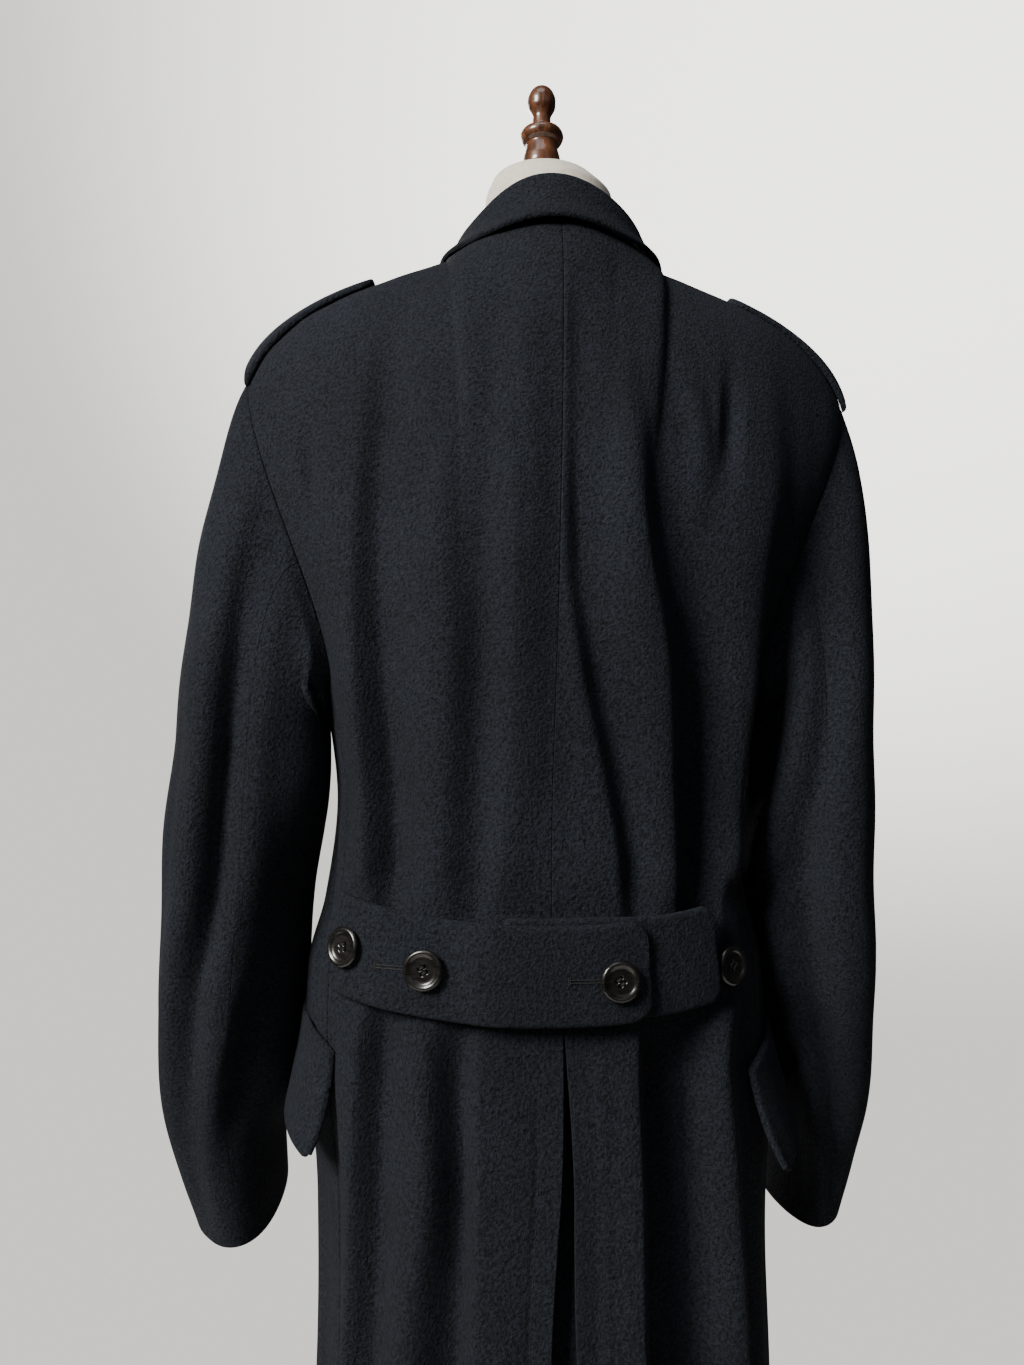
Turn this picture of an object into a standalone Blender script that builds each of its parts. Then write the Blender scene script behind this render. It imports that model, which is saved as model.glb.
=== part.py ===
import math

import bmesh
import bpy
import numpy as np

# Driving sizes, in metres and degrees
CLOTH = 0.003
SEAM = 0.0003
LAP = 0.0045
SHOULDER_GAP = 0.0016
CHEST_Z = 1.130
HEM_Z = 0.260
NECK_HALF = 0.080
NECK_SHARE = 0.36
NECK_POINT_Z = 1.443
SHOULDER_HALF = 0.220
SHOULDER_Z = 1.360
SHOULDER_TILT = 0.020
SLEEVE_TOP_Z = 1.090
SQUARENESS = 2.5
BELT_HEIGHT = 0.062
BUTTON_WIDE = 0.0254
BELT = 0.0045
BELT_CLEAR = 0.0040
STRAP = 0.004
COLLAR_FOLD = 0.069
COLLAR_EDGE = 0.088
ROLL = 0.0055
BASE_WIDE = 0.42
FORM_FOOT = 0.86
NECK_TOP = 1.5235

# Neck of the dress form, a row per ring: radius, height, share of the neckline's own height
NECK_RINGS = (
    (0.0570, 1.452, 0.50),
    (0.0525, 1.472, 0.15),
    (0.0505, 1.490, 0.00),
    (0.0480, 1.503, 0.00),
    (0.0400, 1.514, 0.00),
    (0.0280, 1.5205, 0.00),
    (0.0160, NECK_TOP, 0.00),
)

# Coat body, a row per level: z, half width, depth behind, depth in front, side seam as a share of the quarter
BODY = np.array([
    (1.130, 0.157, 0.110, 0.118, 0.78),
    (1.045, 0.143, 0.108, 0.119, 0.75),
    (0.980, 0.150, 0.108, 0.121, 0.72),
    (0.935, 0.160, 0.108, 0.122, 0.70),
    (0.870, 0.161, 0.111, 0.124, 0.70),
    (0.780, 0.154, 0.116, 0.126, 0.71),
    (0.700, 0.152, 0.121, 0.128, 0.72),
    (0.480, 0.165, 0.136, 0.136, 0.74),
    (0.260, 0.180, 0.150, 0.145, 0.74),
])

# Shoulder panels, a row per column: share, pull across at the seam, pull along it,
# then the pull into the chest in x, y and z
YOKE_BACK = np.array([
    (0.00, 0.19, 0.00, 0.000, -0.010, -0.24),
    (0.36, 0.22, 0.00, 0.000, -0.020, -0.30),
    (0.70, 0.20, 0.00, 0.000, -0.010, -0.27),
    (1.00, 0.14, 0.12, -0.015, 0.000, -0.17),
])
YOKE_FRONT = np.array([
    (0.00, 0.17, 0.00, 0.000, 0.000, -0.20),
    (0.36, 0.22, 0.00, 0.000, 0.000, -0.28),
    (0.70, 0.24, 0.00, 0.000, 0.030, -0.24),
    (0.85, 0.28, 0.10, 0.000, 0.200, -0.05),
    (1.00, 0.28, 0.20, 0.030, 0.280, 0.00),
])

# Folds of the back, a row per fold, in mm: place from the centre at each fold level,
# then above the belt its top, half width, height and lean, then below the belt its half width and height
FOLDS_LEFT = np.array([
    (58, 56, 48, 68, 78, 104, 1200, 26, 7, 0, 20, -13),
    (88, 84, 78, 94, 104, 132, 1200, 20, -6, 0, 18, 6),
    (134, 130, 112, 124, 130, 160, 1360, 24, -11, 0, 18, -8),
    (162, 152, 140, 146, 152, 184, 1420, 24, 13, 7, 16, 0),
])
FOLDS_RIGHT = np.array([
    (30, 36, 50, 40, 42, 50, 1220, 18, -6, 0, 16, 3),
    (64, 84, 96, 68, 74, 96, 1400, 28, -14, 0, 24, -20),
    (112, 114, 118, 98, 104, 130, 1240, 16, 7, 0, 16, 7),
    (162, 152, 136, 128, 132, 164, 1420, 24, 13, 7, 18, -10),
])
FOLD_LEVELS = (1.33, 1.15, 0.975, 0.915, 0.70, 0.26)
COLUMNS_PER_FOLD = (4, 3, 3, 4, 4)

# How far the coat hangs off the middle line, a row per level
DRIFT = np.array([
    (1.520, 0.000),
    (1.500, -0.0055),
    (1.450, -0.007),
    (1.350, -0.005),
    (1.200, 0.000),
    (1.000, 0.006),
    (0.920, 0.006),
    (0.800, 0.001),
    (0.260, 0.000),
])

# Sleeves, a row per level: z, centre x, centre y, half width, half depth, forward tilt
SLEEVE_LEFT = np.array([
    (1.090, 0.212, -0.002, 0.048, 0.074, 0),
    (1.000, 0.215, 0.000, 0.049, 0.071, 3),
    (0.930, 0.221, -0.008, 0.046, 0.067, 9),
    (0.840, 0.230, -0.034, 0.042, 0.062, 16),
    (0.750, 0.222, -0.062, 0.032, 0.059, 18),
])
SLEEVE_RIGHT = np.array([
    (1.090, 0.204, -0.002, 0.042, 0.074, 0),
    (1.000, 0.203, 0.000, 0.044, 0.071, 3),
    (0.930, 0.209, -0.008, 0.040, 0.068, 9),
    (0.840, 0.214, -0.036, 0.034, 0.062, 16),
    (0.750, 0.206, -0.064, 0.030, 0.059, 18),
])
# Sleeve folds, a row per fold: place round the arm in degrees at z 1.09, 0.98 and 0.75, half width, height in mm
ARM_FOLDS_LEFT = np.array([
    (278, 284, 292, 30, 7),
    (318, 322, 326, 26, -6),
])
ARM_FOLDS_RIGHT = np.array([
    (270, 244, 300, 24, 9),
    (305, 290, 330, 26, -7),
])

YOKE_STEPS = np.array([0.0, 0.10, 0.21, 0.33, 0.46, 0.59, 0.72, 0.86, 1.0])
BODY_LEVELS = np.array([
    1.10, 1.065, 1.03, 0.995, 0.965, 0.935, 0.905, 0.875, 0.835, 0.785, 0.71, 0.60, 0.49, 0.375, 0.26,
])


def clear():
    for old in list(bpy.data.objects):
        bpy.data.objects.remove(old, do_unlink=True)


def make_collection(name, hidden=False):
    made = bpy.data.collections.new(name)
    made.hide_render = hidden
    bpy.context.scene.collection.children.link(made)
    return made


def material(name, colour, rough):
    made = bpy.data.materials.new(name)
    made.use_nodes = True
    shader = made.node_tree.nodes["Principled BSDF"]
    shader.inputs["Base Color"].default_value = (*colour, 1.0)
    shader.inputs["Roughness"].default_value = rough
    return made


def smooth(t):
    t = np.clip(t, 0.0, 1.0)
    return t * t * (3.0 - 2.0 * t)


def unit(v):
    return v / np.maximum(np.linalg.norm(v, axis=-1, keepdims=True), 1e-12)


def along(table, at, column):
    """A smooth curve through one column of a table, with no overshoot between its rows."""
    order = np.argsort(table[:, 0])
    xs = table[order, 0]
    ys = table[order, column]
    h = np.diff(xs)
    slope = np.diff(ys) / h
    m = np.zeros_like(ys)
    m[0] = slope[0]
    m[-1] = slope[-1]
    same = slope[:-1] * slope[1:] > 0
    mean = 2.0 * slope[:-1] * slope[1:] / np.where(same, slope[:-1] + slope[1:], 1.0)
    m[1:-1] = np.where(same, mean, 0.0)
    at = np.clip(at, xs[0], xs[-1])
    i = np.clip(np.searchsorted(xs, at) - 1, 0, len(h) - 1)
    t = (at - xs[i]) / h[i]
    return (
        ys[i] * (1 + 2 * t) * (1 - t) ** 2
        + m[i] * h[i] * t * (1 - t) ** 2
        + ys[i + 1] * t * t * (3 - 2 * t)
        + m[i + 1] * h[i] * t * t * (t - 1)
    )


def hermite(p0, t0, p1, t1, v):
    v = v[..., None]
    return (
        p0 * (1 + 2 * v) * (1 - v) ** 2
        + t0 * v * (1 - v) ** 2
        + p1 * v * v * (3 - 2 * v)
        + t1 * v * v * (v - 1)
    )


def quarter_angles():
    """Angle against share of the length of a quarter of the body's rounded-square section."""
    angle = np.linspace(0, math.pi / 2, 721)
    x = 0.162 * np.sin(angle) ** (2 / SQUARENESS)
    y = 0.112 * np.cos(angle) ** (2 / SQUARENESS)
    run = np.concatenate([[0], np.cumsum(np.hypot(np.diff(x), np.diff(y)))])
    return run / run[-1], angle


RUN, ANGLE = quarter_angles()


def ring(s, z):
    """The body at share s (0 centre back, 1 side seam, 2 centre front) and height z."""
    s, z = np.broadcast_arrays(np.asarray(s, float), np.asarray(z, float))
    side = along(BODY, z, 4)
    turn = np.where(s <= 1, s * side, side + (s - 1) * (2 - side))
    past = turn > 2
    turn = np.where(past, 4 - turn, turn)
    behind = turn <= 1
    angle = np.interp(np.where(behind, turn, 2 - turn), RUN, ANGLE)
    depth = np.where(behind, along(BODY, z, 2), -along(BODY, z, 3))
    x = along(BODY, z, 1) * np.sin(angle) ** (2 / SQUARENESS)
    y = depth * np.abs(np.cos(angle)) ** (2 / SQUARENESS)
    return np.stack([np.where(past, -x, x), y, z], -1)


def seam_line(share, front):
    """The top edge of the shoulder panels: round the neck, then along the shoulder to the armhole."""
    share = np.asarray(share, float)
    angle = np.clip(share / NECK_SHARE, 0, 1) * math.pi / 2
    depth, drop = (-0.085, -0.048) if front else (0.054, 0.019)
    neck = np.stack([
        NECK_HALF * np.sin(angle),
        0.008 + depth * np.cos(angle),
        NECK_POINT_Z + drop * np.cos(angle) ** (1 if front else 4),
    ], -1)
    t = np.clip((share - NECK_SHARE) / (1 - NECK_SHARE), 0, 1)
    slope = hermite(
        np.array([NECK_HALF, 0.008, NECK_POINT_Z]), np.array([0.16, -0.008, -0.055]),
        np.array([SHOULDER_HALF, 0.0, SHOULDER_Z]), np.array([0.055, -0.008, -0.13]), t)
    return np.where((share < NECK_SHARE)[..., None], neck, slope)


def seam_way(share):
    """Direction of the shoulder seam, towards the armhole."""
    lo = np.clip(share, NECK_SHARE + 1e-4, 1 - 1e-4)
    return unit(seam_line(lo + 1e-4, False) - seam_line(lo - 1e-4, False))


def yoke(s, v, form=False):
    """The shoulder part of the body at share s, v from 0 at the seam to 1 at the chest."""
    s, v = np.broadcast_arrays(np.asarray(s, float), np.asarray(v, float))
    out = np.zeros(s.shape + (3,))
    for front, table, sign in ((False, YOKE_BACK, 1.0), (True, YOKE_FRONT, -1.0)):
        pick = (s > 1) if front else (s <= 1)
        if not pick.any():
            continue
        share = np.clip(2 - s[pick] if front else s[pick], 0, 1)
        past = s[pick] > 2 if front else np.zeros(share.shape, bool)
        share = np.where(past, s[pick] - 2, share)
        if form:
            table = table.copy()
            table = table[table[:, 0] != 0.85]
            table[-1] = (1.0, 0.02, 0.10, 0.0, 0.0, -0.20)
        across = along(table, share, 1)
        neck = np.clip(1.5 * (1 - share / NECK_SHARE), 0, 1)[:, None]
        down = np.array([0.0, 0.5 * sign, -0.86])
        flat = np.array([0.0, sign, 0.0])
        start = across[:, None] * unit(neck * down + (1 - neck) * flat)
        start = start + along(table, share, 2)[:, None] * seam_way(share)
        end = np.stack([along(table, share, k) for k in (3, 4, 5)], -1)
        chest = ring(np.where(s[pick] > 2, 4 - s[pick], s[pick]), CHEST_Z)
        made = hermite(seam_line(share, front), start, chest, end, v[pick])
        made[..., 0] = np.where(past, -made[..., 0], made[..., 0])
        out[pick] = made
    return out


def body_grid(shares, form=False, first=0.0, steps=YOKE_STEPS, levels=BODY_LEVELS):
    """Points and outward normals, a row per level from the shoulder seam down; shares are one row or a row each."""
    high = len(steps)
    s = np.broadcast_to(np.asarray(shares, float), (high + len(levels), np.shape(shares)[-1]))
    v = np.maximum(steps, first)[:, None]
    z = levels[:, None]
    points = np.concatenate([yoke(s[:high], v, form), ring(s[high:], z)])
    step = 1e-4
    up = s[:high]
    ahead = np.where((up <= 1) & (up + step > 1), up, up + step)
    behind = np.maximum(np.where((up > 1) & (up - step <= 1), up, up - step), 1e-9)
    ds = yoke(ahead, v, form) - yoke(behind, v, form)
    dv = yoke(up, np.minimum(v + step, 1), form) - yoke(up, np.maximum(v - step, 0), form)
    upper = unit(np.cross(ds, dv))
    low = s[high - 1:]
    z = np.concatenate([[CHEST_Z], levels])[:, None]
    ds = ring(low + step, z) - ring(np.maximum(low - step, 1e-9), z)
    dz = ring(low, z - step) - ring(low, z + step)
    lower = unit(np.cross(ds, dz))
    normals = np.concatenate([upper[:-1], lower])
    normals[..., 0] = np.where((s < 1e-6) | (np.abs(s - 2) < 1e-6), 0, normals[..., 0])
    return points, unit(normals)


def edge_normals(points, way):
    """Outward normals round the armhole, square to its edge."""
    out = points - np.array([0.05, 0.0, 0.0])
    out[..., 2] = np.maximum(points[..., 2] - 1.30, 0)
    out = out - (out * way).sum(axis=-1, keepdims=True) * way
    return unit(out)


def grid_normals(points):
    """Normals of a bent grid, averaged from the faces round each point."""
    face = np.cross(points[1:, 1:] - points[:-1, :-1], points[1:, :-1] - points[:-1, 1:])
    total = np.zeros_like(points)
    for rows in (slice(None, -1), slice(1, None)):
        for cols in (slice(None, -1), slice(1, None)):
            total[rows, cols] += face
    return unit(total)


def girth(points):
    """Length along each row from its first point."""
    step = np.linalg.norm(np.diff(points, axis=1), axis=2)
    return np.concatenate([np.zeros((len(points), 1)), np.cumsum(step, axis=1)], axis=1)


def fold_place(fold, z):
    return along(np.array([(a, b) for a, b in zip(FOLD_LEVELS, fold[:6])]), z, 1) / 1000


def belt_level(across):
    """Height of the belt's middle line, which sags at the centre back."""
    return 0.943 + 0.013 * (across / 0.13) ** 2


def bump(distance, wide):
    return 0.5 + 0.5 * np.cos(math.pi * np.clip(np.abs(distance) / wide, 0, 1))


def fold_moves(table, run, z):
    """Outward and sideways moves of every point, summed over the folds of a table."""
    out = np.zeros_like(run)
    side = np.zeros_like(run)
    above = smooth((z - 0.900) / 0.07)
    for fold in table:
        away = run - fold_place(fold, z)
        top, wide, high, lean, low_wide, low_high = fold[6:] / 1000
        raised = bump(away, wide) * above * smooth((top - z) / 0.10)
        out += high * raised + low_high * bump(away, low_wide) * (1 - above)
        side += lean * raised
    return out, side


def columns_on_folds(table, steps, levels):
    """Shares of the back's columns on each row, so that a column runs along each fold."""
    dense = np.linspace(0, 0.999, 160)
    points, _ = body_grid(dense, steps=steps, levels=levels)
    run = girth(points)
    z = points[:, 0, 2]
    places = [fold_place(fold, z) for fold in table]
    marks = np.stack([np.zeros_like(z), *places, run[:, -1]], 1)
    for k in range(len(table), 0, -1):
        marks[:, k] = np.minimum(marks[:, k], marks[:, k + 1] - 0.012)
    columns = []
    for k, count in enumerate(COLUMNS_PER_FOLD):
        for i in range(count):
            columns.append(marks[:, k] + (marks[:, k + 1] - marks[:, k]) * i / count)
    columns.append(marks[:, -1])
    target = np.stack(columns, 1)
    return np.stack([np.interp(target[i], run[i], dense) for i in range(len(z))])


def back_panel(table, opening, steps=YOKE_STEPS, levels=BODY_LEVELS):
    """The left back: the body with its folds, and the slit below the belt."""
    shares = columns_on_folds(table, steps, levels)
    points, normals = body_grid(shares, first=SHOULDER_GAP, steps=steps, levels=levels)
    base = normals.copy()
    run = girth(points)
    z = points[..., 2]
    out, lean = fold_moves(table, run, z)
    off = np.abs(z - belt_level(run))
    belt = 1 - smooth((off - 0.038) / 0.028)
    out = np.minimum(out * (1 - 0.3 * belt), 0.0018 + 0.04 * (1 - belt))
    lean = lean * (1 - belt)
    edge = run[:, -1:] - run
    fade = smooth(run / 0.012) * smooth(edge / 0.014)
    across = unit(np.gradient(points, axis=1))
    points = points + normals * (out * fade)[..., None] + across * (lean * fade)[..., None]
    slit = opening * smooth((0.915 - z) / 0.5) ** 0.6
    points[..., 0] += SEAM / 2 + slit * (1 - smooth(run / 0.050))
    normals = grid_normals(points)
    if (normals * base).sum() < 0:
        normals = -normals
    high = len(steps)
    way = unit(np.gradient(points[:high, -1], axis=0))
    normals[0] = base[0]
    normals[:, -1] = base[:, -1]
    normals[:high - 1, -1] = edge_normals(points[:high, -1], way)[:-1]
    normals[:, 0] = base[:, 0]
    return points, normals


def front_panel(shares, over, steps=YOKE_STEPS, levels=BODY_LEVELS):
    """The left front, with the button edge raised where it lies over the other front."""
    points, base = body_grid(shares, first=SHOULDER_GAP, steps=steps, levels=levels)
    if over:
        lap = smooth((0.070 - points[..., 0]) / 0.035)
        lap[:, np.asarray(shares) < 1.5] = 0
        points = points + base * (lap * LAP)[..., None]
    normals = grid_normals(points)
    if (normals * base).sum() < 0:
        normals = -normals
    high = len(steps)
    way = unit(np.gradient(points[:high, 0], axis=0))
    normals[0] = base[0]
    normals[:, 0] = base[:, 0]
    normals[:high - 1, 0] = edge_normals(points[:high, 0], way)[:-1]
    return points, normals


def grid_faces(rows, cols, first, around):
    ids = first + np.arange(rows * cols).reshape(rows, cols)
    if around:
        ids = np.concatenate([ids, ids[:, :1]], axis=1)
    quads = np.stack([ids[:-1, :-1], ids[1:, :-1], ids[1:, 1:], ids[:-1, 1:]], -1)
    return quads.reshape(-1, 4), ids


def strip(a, b):
    return np.stack([a[:-1], b[:-1], b[1:], a[1:]], -1)


def drifted(points):
    moved = np.array(points, float)
    moved[..., 2] += SHOULDER_TILT * moved[..., 0] * smooth((moved[..., 2] - 1.25) / 0.12)
    moved[..., 0] += along(DRIFT, moved[..., 2], 1)
    return moved


def wall(name, outer, inner, look, around=False):
    """A closed wall between two grids of points, with rims round its edges."""
    outer, inner = drifted(outer), drifted(inner)
    rows, cols = outer.shape[:2]
    first, top = grid_faces(rows, cols, 0, around)
    second, low = grid_faces(rows, cols, rows * cols, around)
    faces = [first, second[:, ::-1], strip(top[0], low[0]), strip(low[-1], top[-1])]
    if not around:
        faces += [strip(low[:, 0], top[:, 0]), strip(top[:, -1], low[:, -1])]
    points = np.concatenate([outer.reshape(-1, 3), inner.reshape(-1, 3)])
    return solid(name, points, np.concatenate(faces).tolist(), look)


def solid(name, points, faces, look):
    mesh = bpy.data.meshes.new(name)
    mesh.from_pydata(np.asarray(points).tolist(), [], faces)
    edit = bmesh.new()
    edit.from_mesh(mesh)
    bmesh.ops.remove_doubles(edit, verts=edit.verts, dist=1e-6)
    bmesh.ops.recalc_face_normals(edit, faces=edit.faces)
    edit.to_mesh(mesh)
    edit.free()
    mesh.materials.append(look)
    made = bpy.data.objects.new(name, mesh)
    COAT.objects.link(made)
    return made


def turned(name, profile, look, steps=24, place=(0, 0, 0), facing=(0, 0, 1)):
    """A solid turned from a profile that runs down its outer side, set with its axis along facing."""
    mesh = bpy.data.meshes.new(name)
    edges = [(i, i + 1) for i in range(len(profile) - 1)]
    mesh.from_pydata([(r, 0, z) for r, z in profile], edges, [])
    mesh.materials.append(look)
    made = bpy.data.objects.new(name, mesh)
    COAT.objects.link(made)
    screw = made.modifiers.new("Screw", "SCREW")
    screw.steps = steps
    screw.render_steps = steps
    screw.use_merge_vertices = True
    screw.merge_threshold = 0.00001
    way = np.asarray(facing, float) / np.linalg.norm(facing)
    made.rotation_euler = (math.acos(way[2]), 0, math.atan2(way[0], -way[1]))
    made.location = place
    return made


def mirrored(points):
    return points * np.array([-1.0, 1.0, 1.0])


def armhole(steps=YOKE_STEPS):
    """Points round the left armhole, from the shoulder tip forwards."""
    high = len(steps)
    levels = np.array([1.10])
    back, _ = body_grid(np.array([0.999]), first=SHOULDER_GAP, steps=steps, levels=levels)
    front, _ = body_grid(np.array([1.0006]), first=SHOULDER_GAP, steps=steps, levels=levels)
    points = np.concatenate([front[:high, 0], back[high - 2:0:-1, 0]])
    points[0] = 0.5 * (front[0, 0] + back[0, 0])
    points[high - 1] = 0.5 * (front[high - 1, 0] + back[high - 1, 0])
    return points


def sleeve_ring(table, z, angle):
    """A level of the sleeve: angle 0 outside, 90 front, 180 inside, 270 behind."""
    x, y, wide, deep, tilt = (along(table, z, k) for k in range(1, 6))
    tilt = np.radians(tilt)
    rise = deep * np.sin(angle)
    return np.stack([
        x + wide * np.cos(angle),
        y - rise * np.cos(tilt),
        z + rise * np.sin(tilt),
    ], -1)


def sleeve_grid(table, folds, head_steps, levels):
    """The whole left sleeve, closed round the arm, from the armhole to the cuff."""
    loop = armhole()
    gaps = np.linalg.norm(np.diff(np.concatenate([loop, loop[:1]]), axis=0), axis=1)
    share = np.concatenate([[0], np.cumsum(gaps)[:-1]]) / gaps.sum()
    angle = 2 * math.pi * share
    low = 0.5 - 0.5 * np.cos(angle)
    start = np.stack([np.ones_like(low), -0.25 * np.sin(angle), -2.2 * (1 - low) ** 2.5], -1)
    closed = np.concatenate([loop[-1:], loop, loop[:1]])
    way = unit(closed[2:] - closed[:-2])
    start = unit(start - 0.35 * (start * way).sum(axis=1, keepdims=True) * way)
    begin = loop + start * (2 * SEAM + 0.0012 * smooth((low - 0.6) / 0.25))[:, None]
    armpit = smooth((low - 0.7) / 0.25)
    begin[:, 2] += 0.0010 * armpit
    end = sleeve_ring(table, np.full_like(angle, SLEEVE_TOP_Z), angle)
    reach = np.linalg.norm(end - begin, axis=1)[:, None]
    v = head_steps[:, None]
    fall = np.array([0.0, 0.0, -1.0])
    push = reach * (0.6 + 0.3 * armpit[:, None])
    head = hermite(begin[None], (start * push)[None], end[None], (fall * reach * 0.8)[None], v)
    tube = sleeve_ring(table, levels[:, None], angle[None, :])
    points = np.concatenate([head, tube])
    around = np.concatenate([points[:, -1:], points, points[:, :1]], axis=1)
    n = grid_normals(around)[:, 1:-1]
    middle = points.mean(axis=1, keepdims=True)
    if ((points - middle) * n).sum() < 0:
        n = -n
    z = points[..., 2]
    out_by = np.zeros_like(z)
    degrees = np.degrees(angle)[None, :]
    for a, b, c, wide, high in folds:
        at = along(np.array([(1.09, a), (0.98, b), (0.75, c)]), z, 1)
        near = np.clip(np.abs(degrees - at) / wide, 0, 1)
        out_by += high / 1000 * (0.5 + 0.5 * np.cos(math.pi * near)) * smooth((1.26 - z) / 0.12)
    points = points + n * out_by[..., None]
    around = np.concatenate([points[:, -1:], points, points[:, :1]], axis=1)
    bent = grid_normals(around)[:, 1:-1]
    if (bent * n).sum() < 0:
        bent = -bent
    return points, bent, angle


def sleeve(side, table, folds, mirror):
    steps = np.array([0.0, 0.14, 0.32, 0.54, 0.78, 1.0])
    levels = np.array([1.05, 1.01, 0.97, 0.93, 0.89, 0.85, 0.80, 0.75])
    points, normals, angle = sleeve_grid(table, folds, steps, levels)
    inner = points - normals * CLOTH
    if mirror:
        points, inner = mirrored(points), mirrored(inner)
    count = len(angle)
    front = int(np.argmin(np.abs(np.degrees(angle) - 130)))
    rear = int(np.argmin(np.abs(np.degrees(angle) - 255)))
    pieces = {
        "top": list(range(rear, count)) + list(range(0, front + 1)),
        "under": list(range(front, rear + 1)),
    }
    for name, picked in pieces.items():
        out = points[:, picked].copy()
        inn = inner[:, picked].copy()
        for grid in (out, inn):
            for edge, beside in ((0, 1), (-1, -2)):
                way = unit(grid[:, beside] - grid[:, edge])
                grid[:, edge] += way * SEAM
        wall(f"sleeve_{side}_{name}", out, inn, WOOL)


def body_panels():
    for side, table, flip in (("left", FOLDS_LEFT, False), ("right", FOLDS_RIGHT, True)):
        points, normals = back_panel(table, 0.014)
        inner = points - normals * CLOTH
        if flip:
            points, inner = mirrored(points), mirrored(inner)
        wall(f"back_{side}", points, inner, WOOL)
    for side, over, flip in (("left", True, False), ("right", False, True)):
        shares = np.array([
            1.0006, 1.09, 1.19, 1.29, 1.39, 1.49, 1.57, 1.64, 1.70, 1.76, 1.82, 1.88, 1.94, 2.0, 2.07, 2.13,
        ])
        points, normals = front_panel(shares, over)
        inner = points - normals * CLOTH
        if flip:
            points, inner = mirrored(points), mirrored(inner)
        wall(f"front_{side}", points, inner, WOOL)


def pleat():
    """The strip that closes the slit from behind, its sides raised to meet the inside of the back."""
    z = np.concatenate([[0.908], BODY_LEVELS[BODY_LEVELS < 0.90]])
    across = np.array([-0.041, -0.036, -0.024, 0.0, 0.024, 0.036, 0.041])
    share = np.abs(across)[None, :] / 0.15
    points = ring(share, z[:, None])
    points[..., 0] = across[None, :]
    sunk = 0.0115 * (1 - smooth((np.abs(across) - 0.020) / 0.020)) + CLOTH + SEAM + 0.0002
    points[..., 1] -= sunk[None, :]
    inner = points.copy()
    inner[..., 1] -= CLOTH
    wall("back_pleat", points, inner, WOOL)


def collar():
    """Stand and fall: up from the neck seam, over a soft roll and down to the outer edge."""
    turn = np.radians(np.linspace(-172, 172, 33))
    cos, sin = np.cos(turn), np.sin(turn)
    back = cos > 0
    seam = np.stack([
        NECK_HALF * sin,
        0.008 + np.where(back, 0.054, 0.085) * cos,
        NECK_POINT_Z + np.where(back, 0.019 * cos ** 4, 0.048 * cos),
    ], -1)
    centre = np.array([0.0, -0.012, 0.0])
    way = seam - centre
    way[:, 2] = 0
    way = unit(way)
    up = np.array([0.0, 0.0, 1.0])
    fold_z = 1.465 + np.where(back, 0.0265, -0.040) * cos ** 2 - ROLL
    fold = centre + way * COLLAR_FOLD + up * fold_z[:, None]
    behind = 1.446 + 0.0068 * cos ** 8
    before = 1.4095 + 0.0395 * cos + 0.0415 * sin ** 2 - 0.013 * cos * np.abs(sin) - 0.005 * sin ** 12
    edge_z = np.where(back, behind, before)
    edge = centre + way * COLLAR_EDGE + up * edge_z[:, None]
    raised = LAP * smooth((0.085 - np.abs(seam[:, :1])) / 0.035) * (cos[:, None] < 0)
    foot = seam - way * CLOTH + up * 0.0020 + raised * (0.86 * way + 0.5 * up)
    rows = [foot, 0.5 * (foot + fold - way * ROLL)]
    for angle in (180, 140, 90, 40, 0):
        a = math.radians(angle)
        rows.append(fold + way * ROLL * math.cos(a) + up * ROLL * math.sin(a))
    start = rows[-1]
    rows.append(0.5 * (start + edge) - way * 0.0015)
    rows.append(edge)
    points = np.stack(rows)
    normals = grid_normals(points)
    if (normals[4] * up).sum() < 0:
        normals = -normals
    normals[0] = -way
    wall("collar", points, points - normals * CLOTH, WOOL)


def shoulder_point(share, width):
    """A point on the shoulder at a distance behind (positive) or before the seam, with its normal."""
    pull = np.linalg.norm(yoke(share, 1e-4) - yoke(share, 0.0), axis=-1) / 1e-4
    v = np.abs(width) / pull
    s = np.where(width >= 0, share, 2 - share)
    points = yoke(s, v)
    ds = yoke(s - 1e-4 * np.sign(s - 1), v) - points
    dv = yoke(s, v + 1e-4) - points
    normal = unit(np.cross(ds, dv))
    return points, np.where(normal[..., 2:] < 0, -normal, normal)


def strap(side, flip):
    """A shoulder strap, rounded at the end by the collar."""
    share = np.array([0.985, 0.91, 0.83, 0.75, 0.68, 0.60, 0.572, 0.560])
    half = np.array([0.027, 0.0265, 0.0255, 0.0245, 0.0235, 0.0225, 0.0185, 0.010])
    across = np.linspace(-1, 1, 7)
    points, normals = shoulder_point(share[:, None] * np.ones(7), half[:, None] * across[None, :])
    outer = points + normals * (0.0008 + STRAP)
    inner = points + normals * 0.0008
    if flip:
        outer, inner = mirrored(outer), mirrored(inner)
    wall(f"strap_{side}", outer, inner, WOOL)


def ring_at(across, z):
    """The body at a length across from the centre back, positive to the left, with its normal."""
    across, z = np.broadcast_arrays(np.asarray(across, float), np.asarray(z, float))
    dense = np.linspace(0, 1.3, 400)
    line = ring(dense, 0.945)
    run = np.concatenate([[0], np.cumsum(np.linalg.norm(np.diff(line, axis=0), axis=1))])
    share = np.interp(np.abs(across), run, dense)
    points = ring(share, z)
    ds = ring(share + 1e-4, z) - ring(np.maximum(share - 1e-4, 1e-9), z)
    dz = ring(share, z - 1e-4) - ring(share, z + 1e-4)
    normal = unit(np.cross(ds, dz))
    normal[..., 0] = np.where(share < 1e-6, 0, normal[..., 0])
    sign = np.where(across < 0, -1.0, 1.0)[..., None]
    flip = np.concatenate([sign, np.ones_like(sign), np.ones_like(sign)], -1)
    return points * flip, unit(normal) * flip


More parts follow.
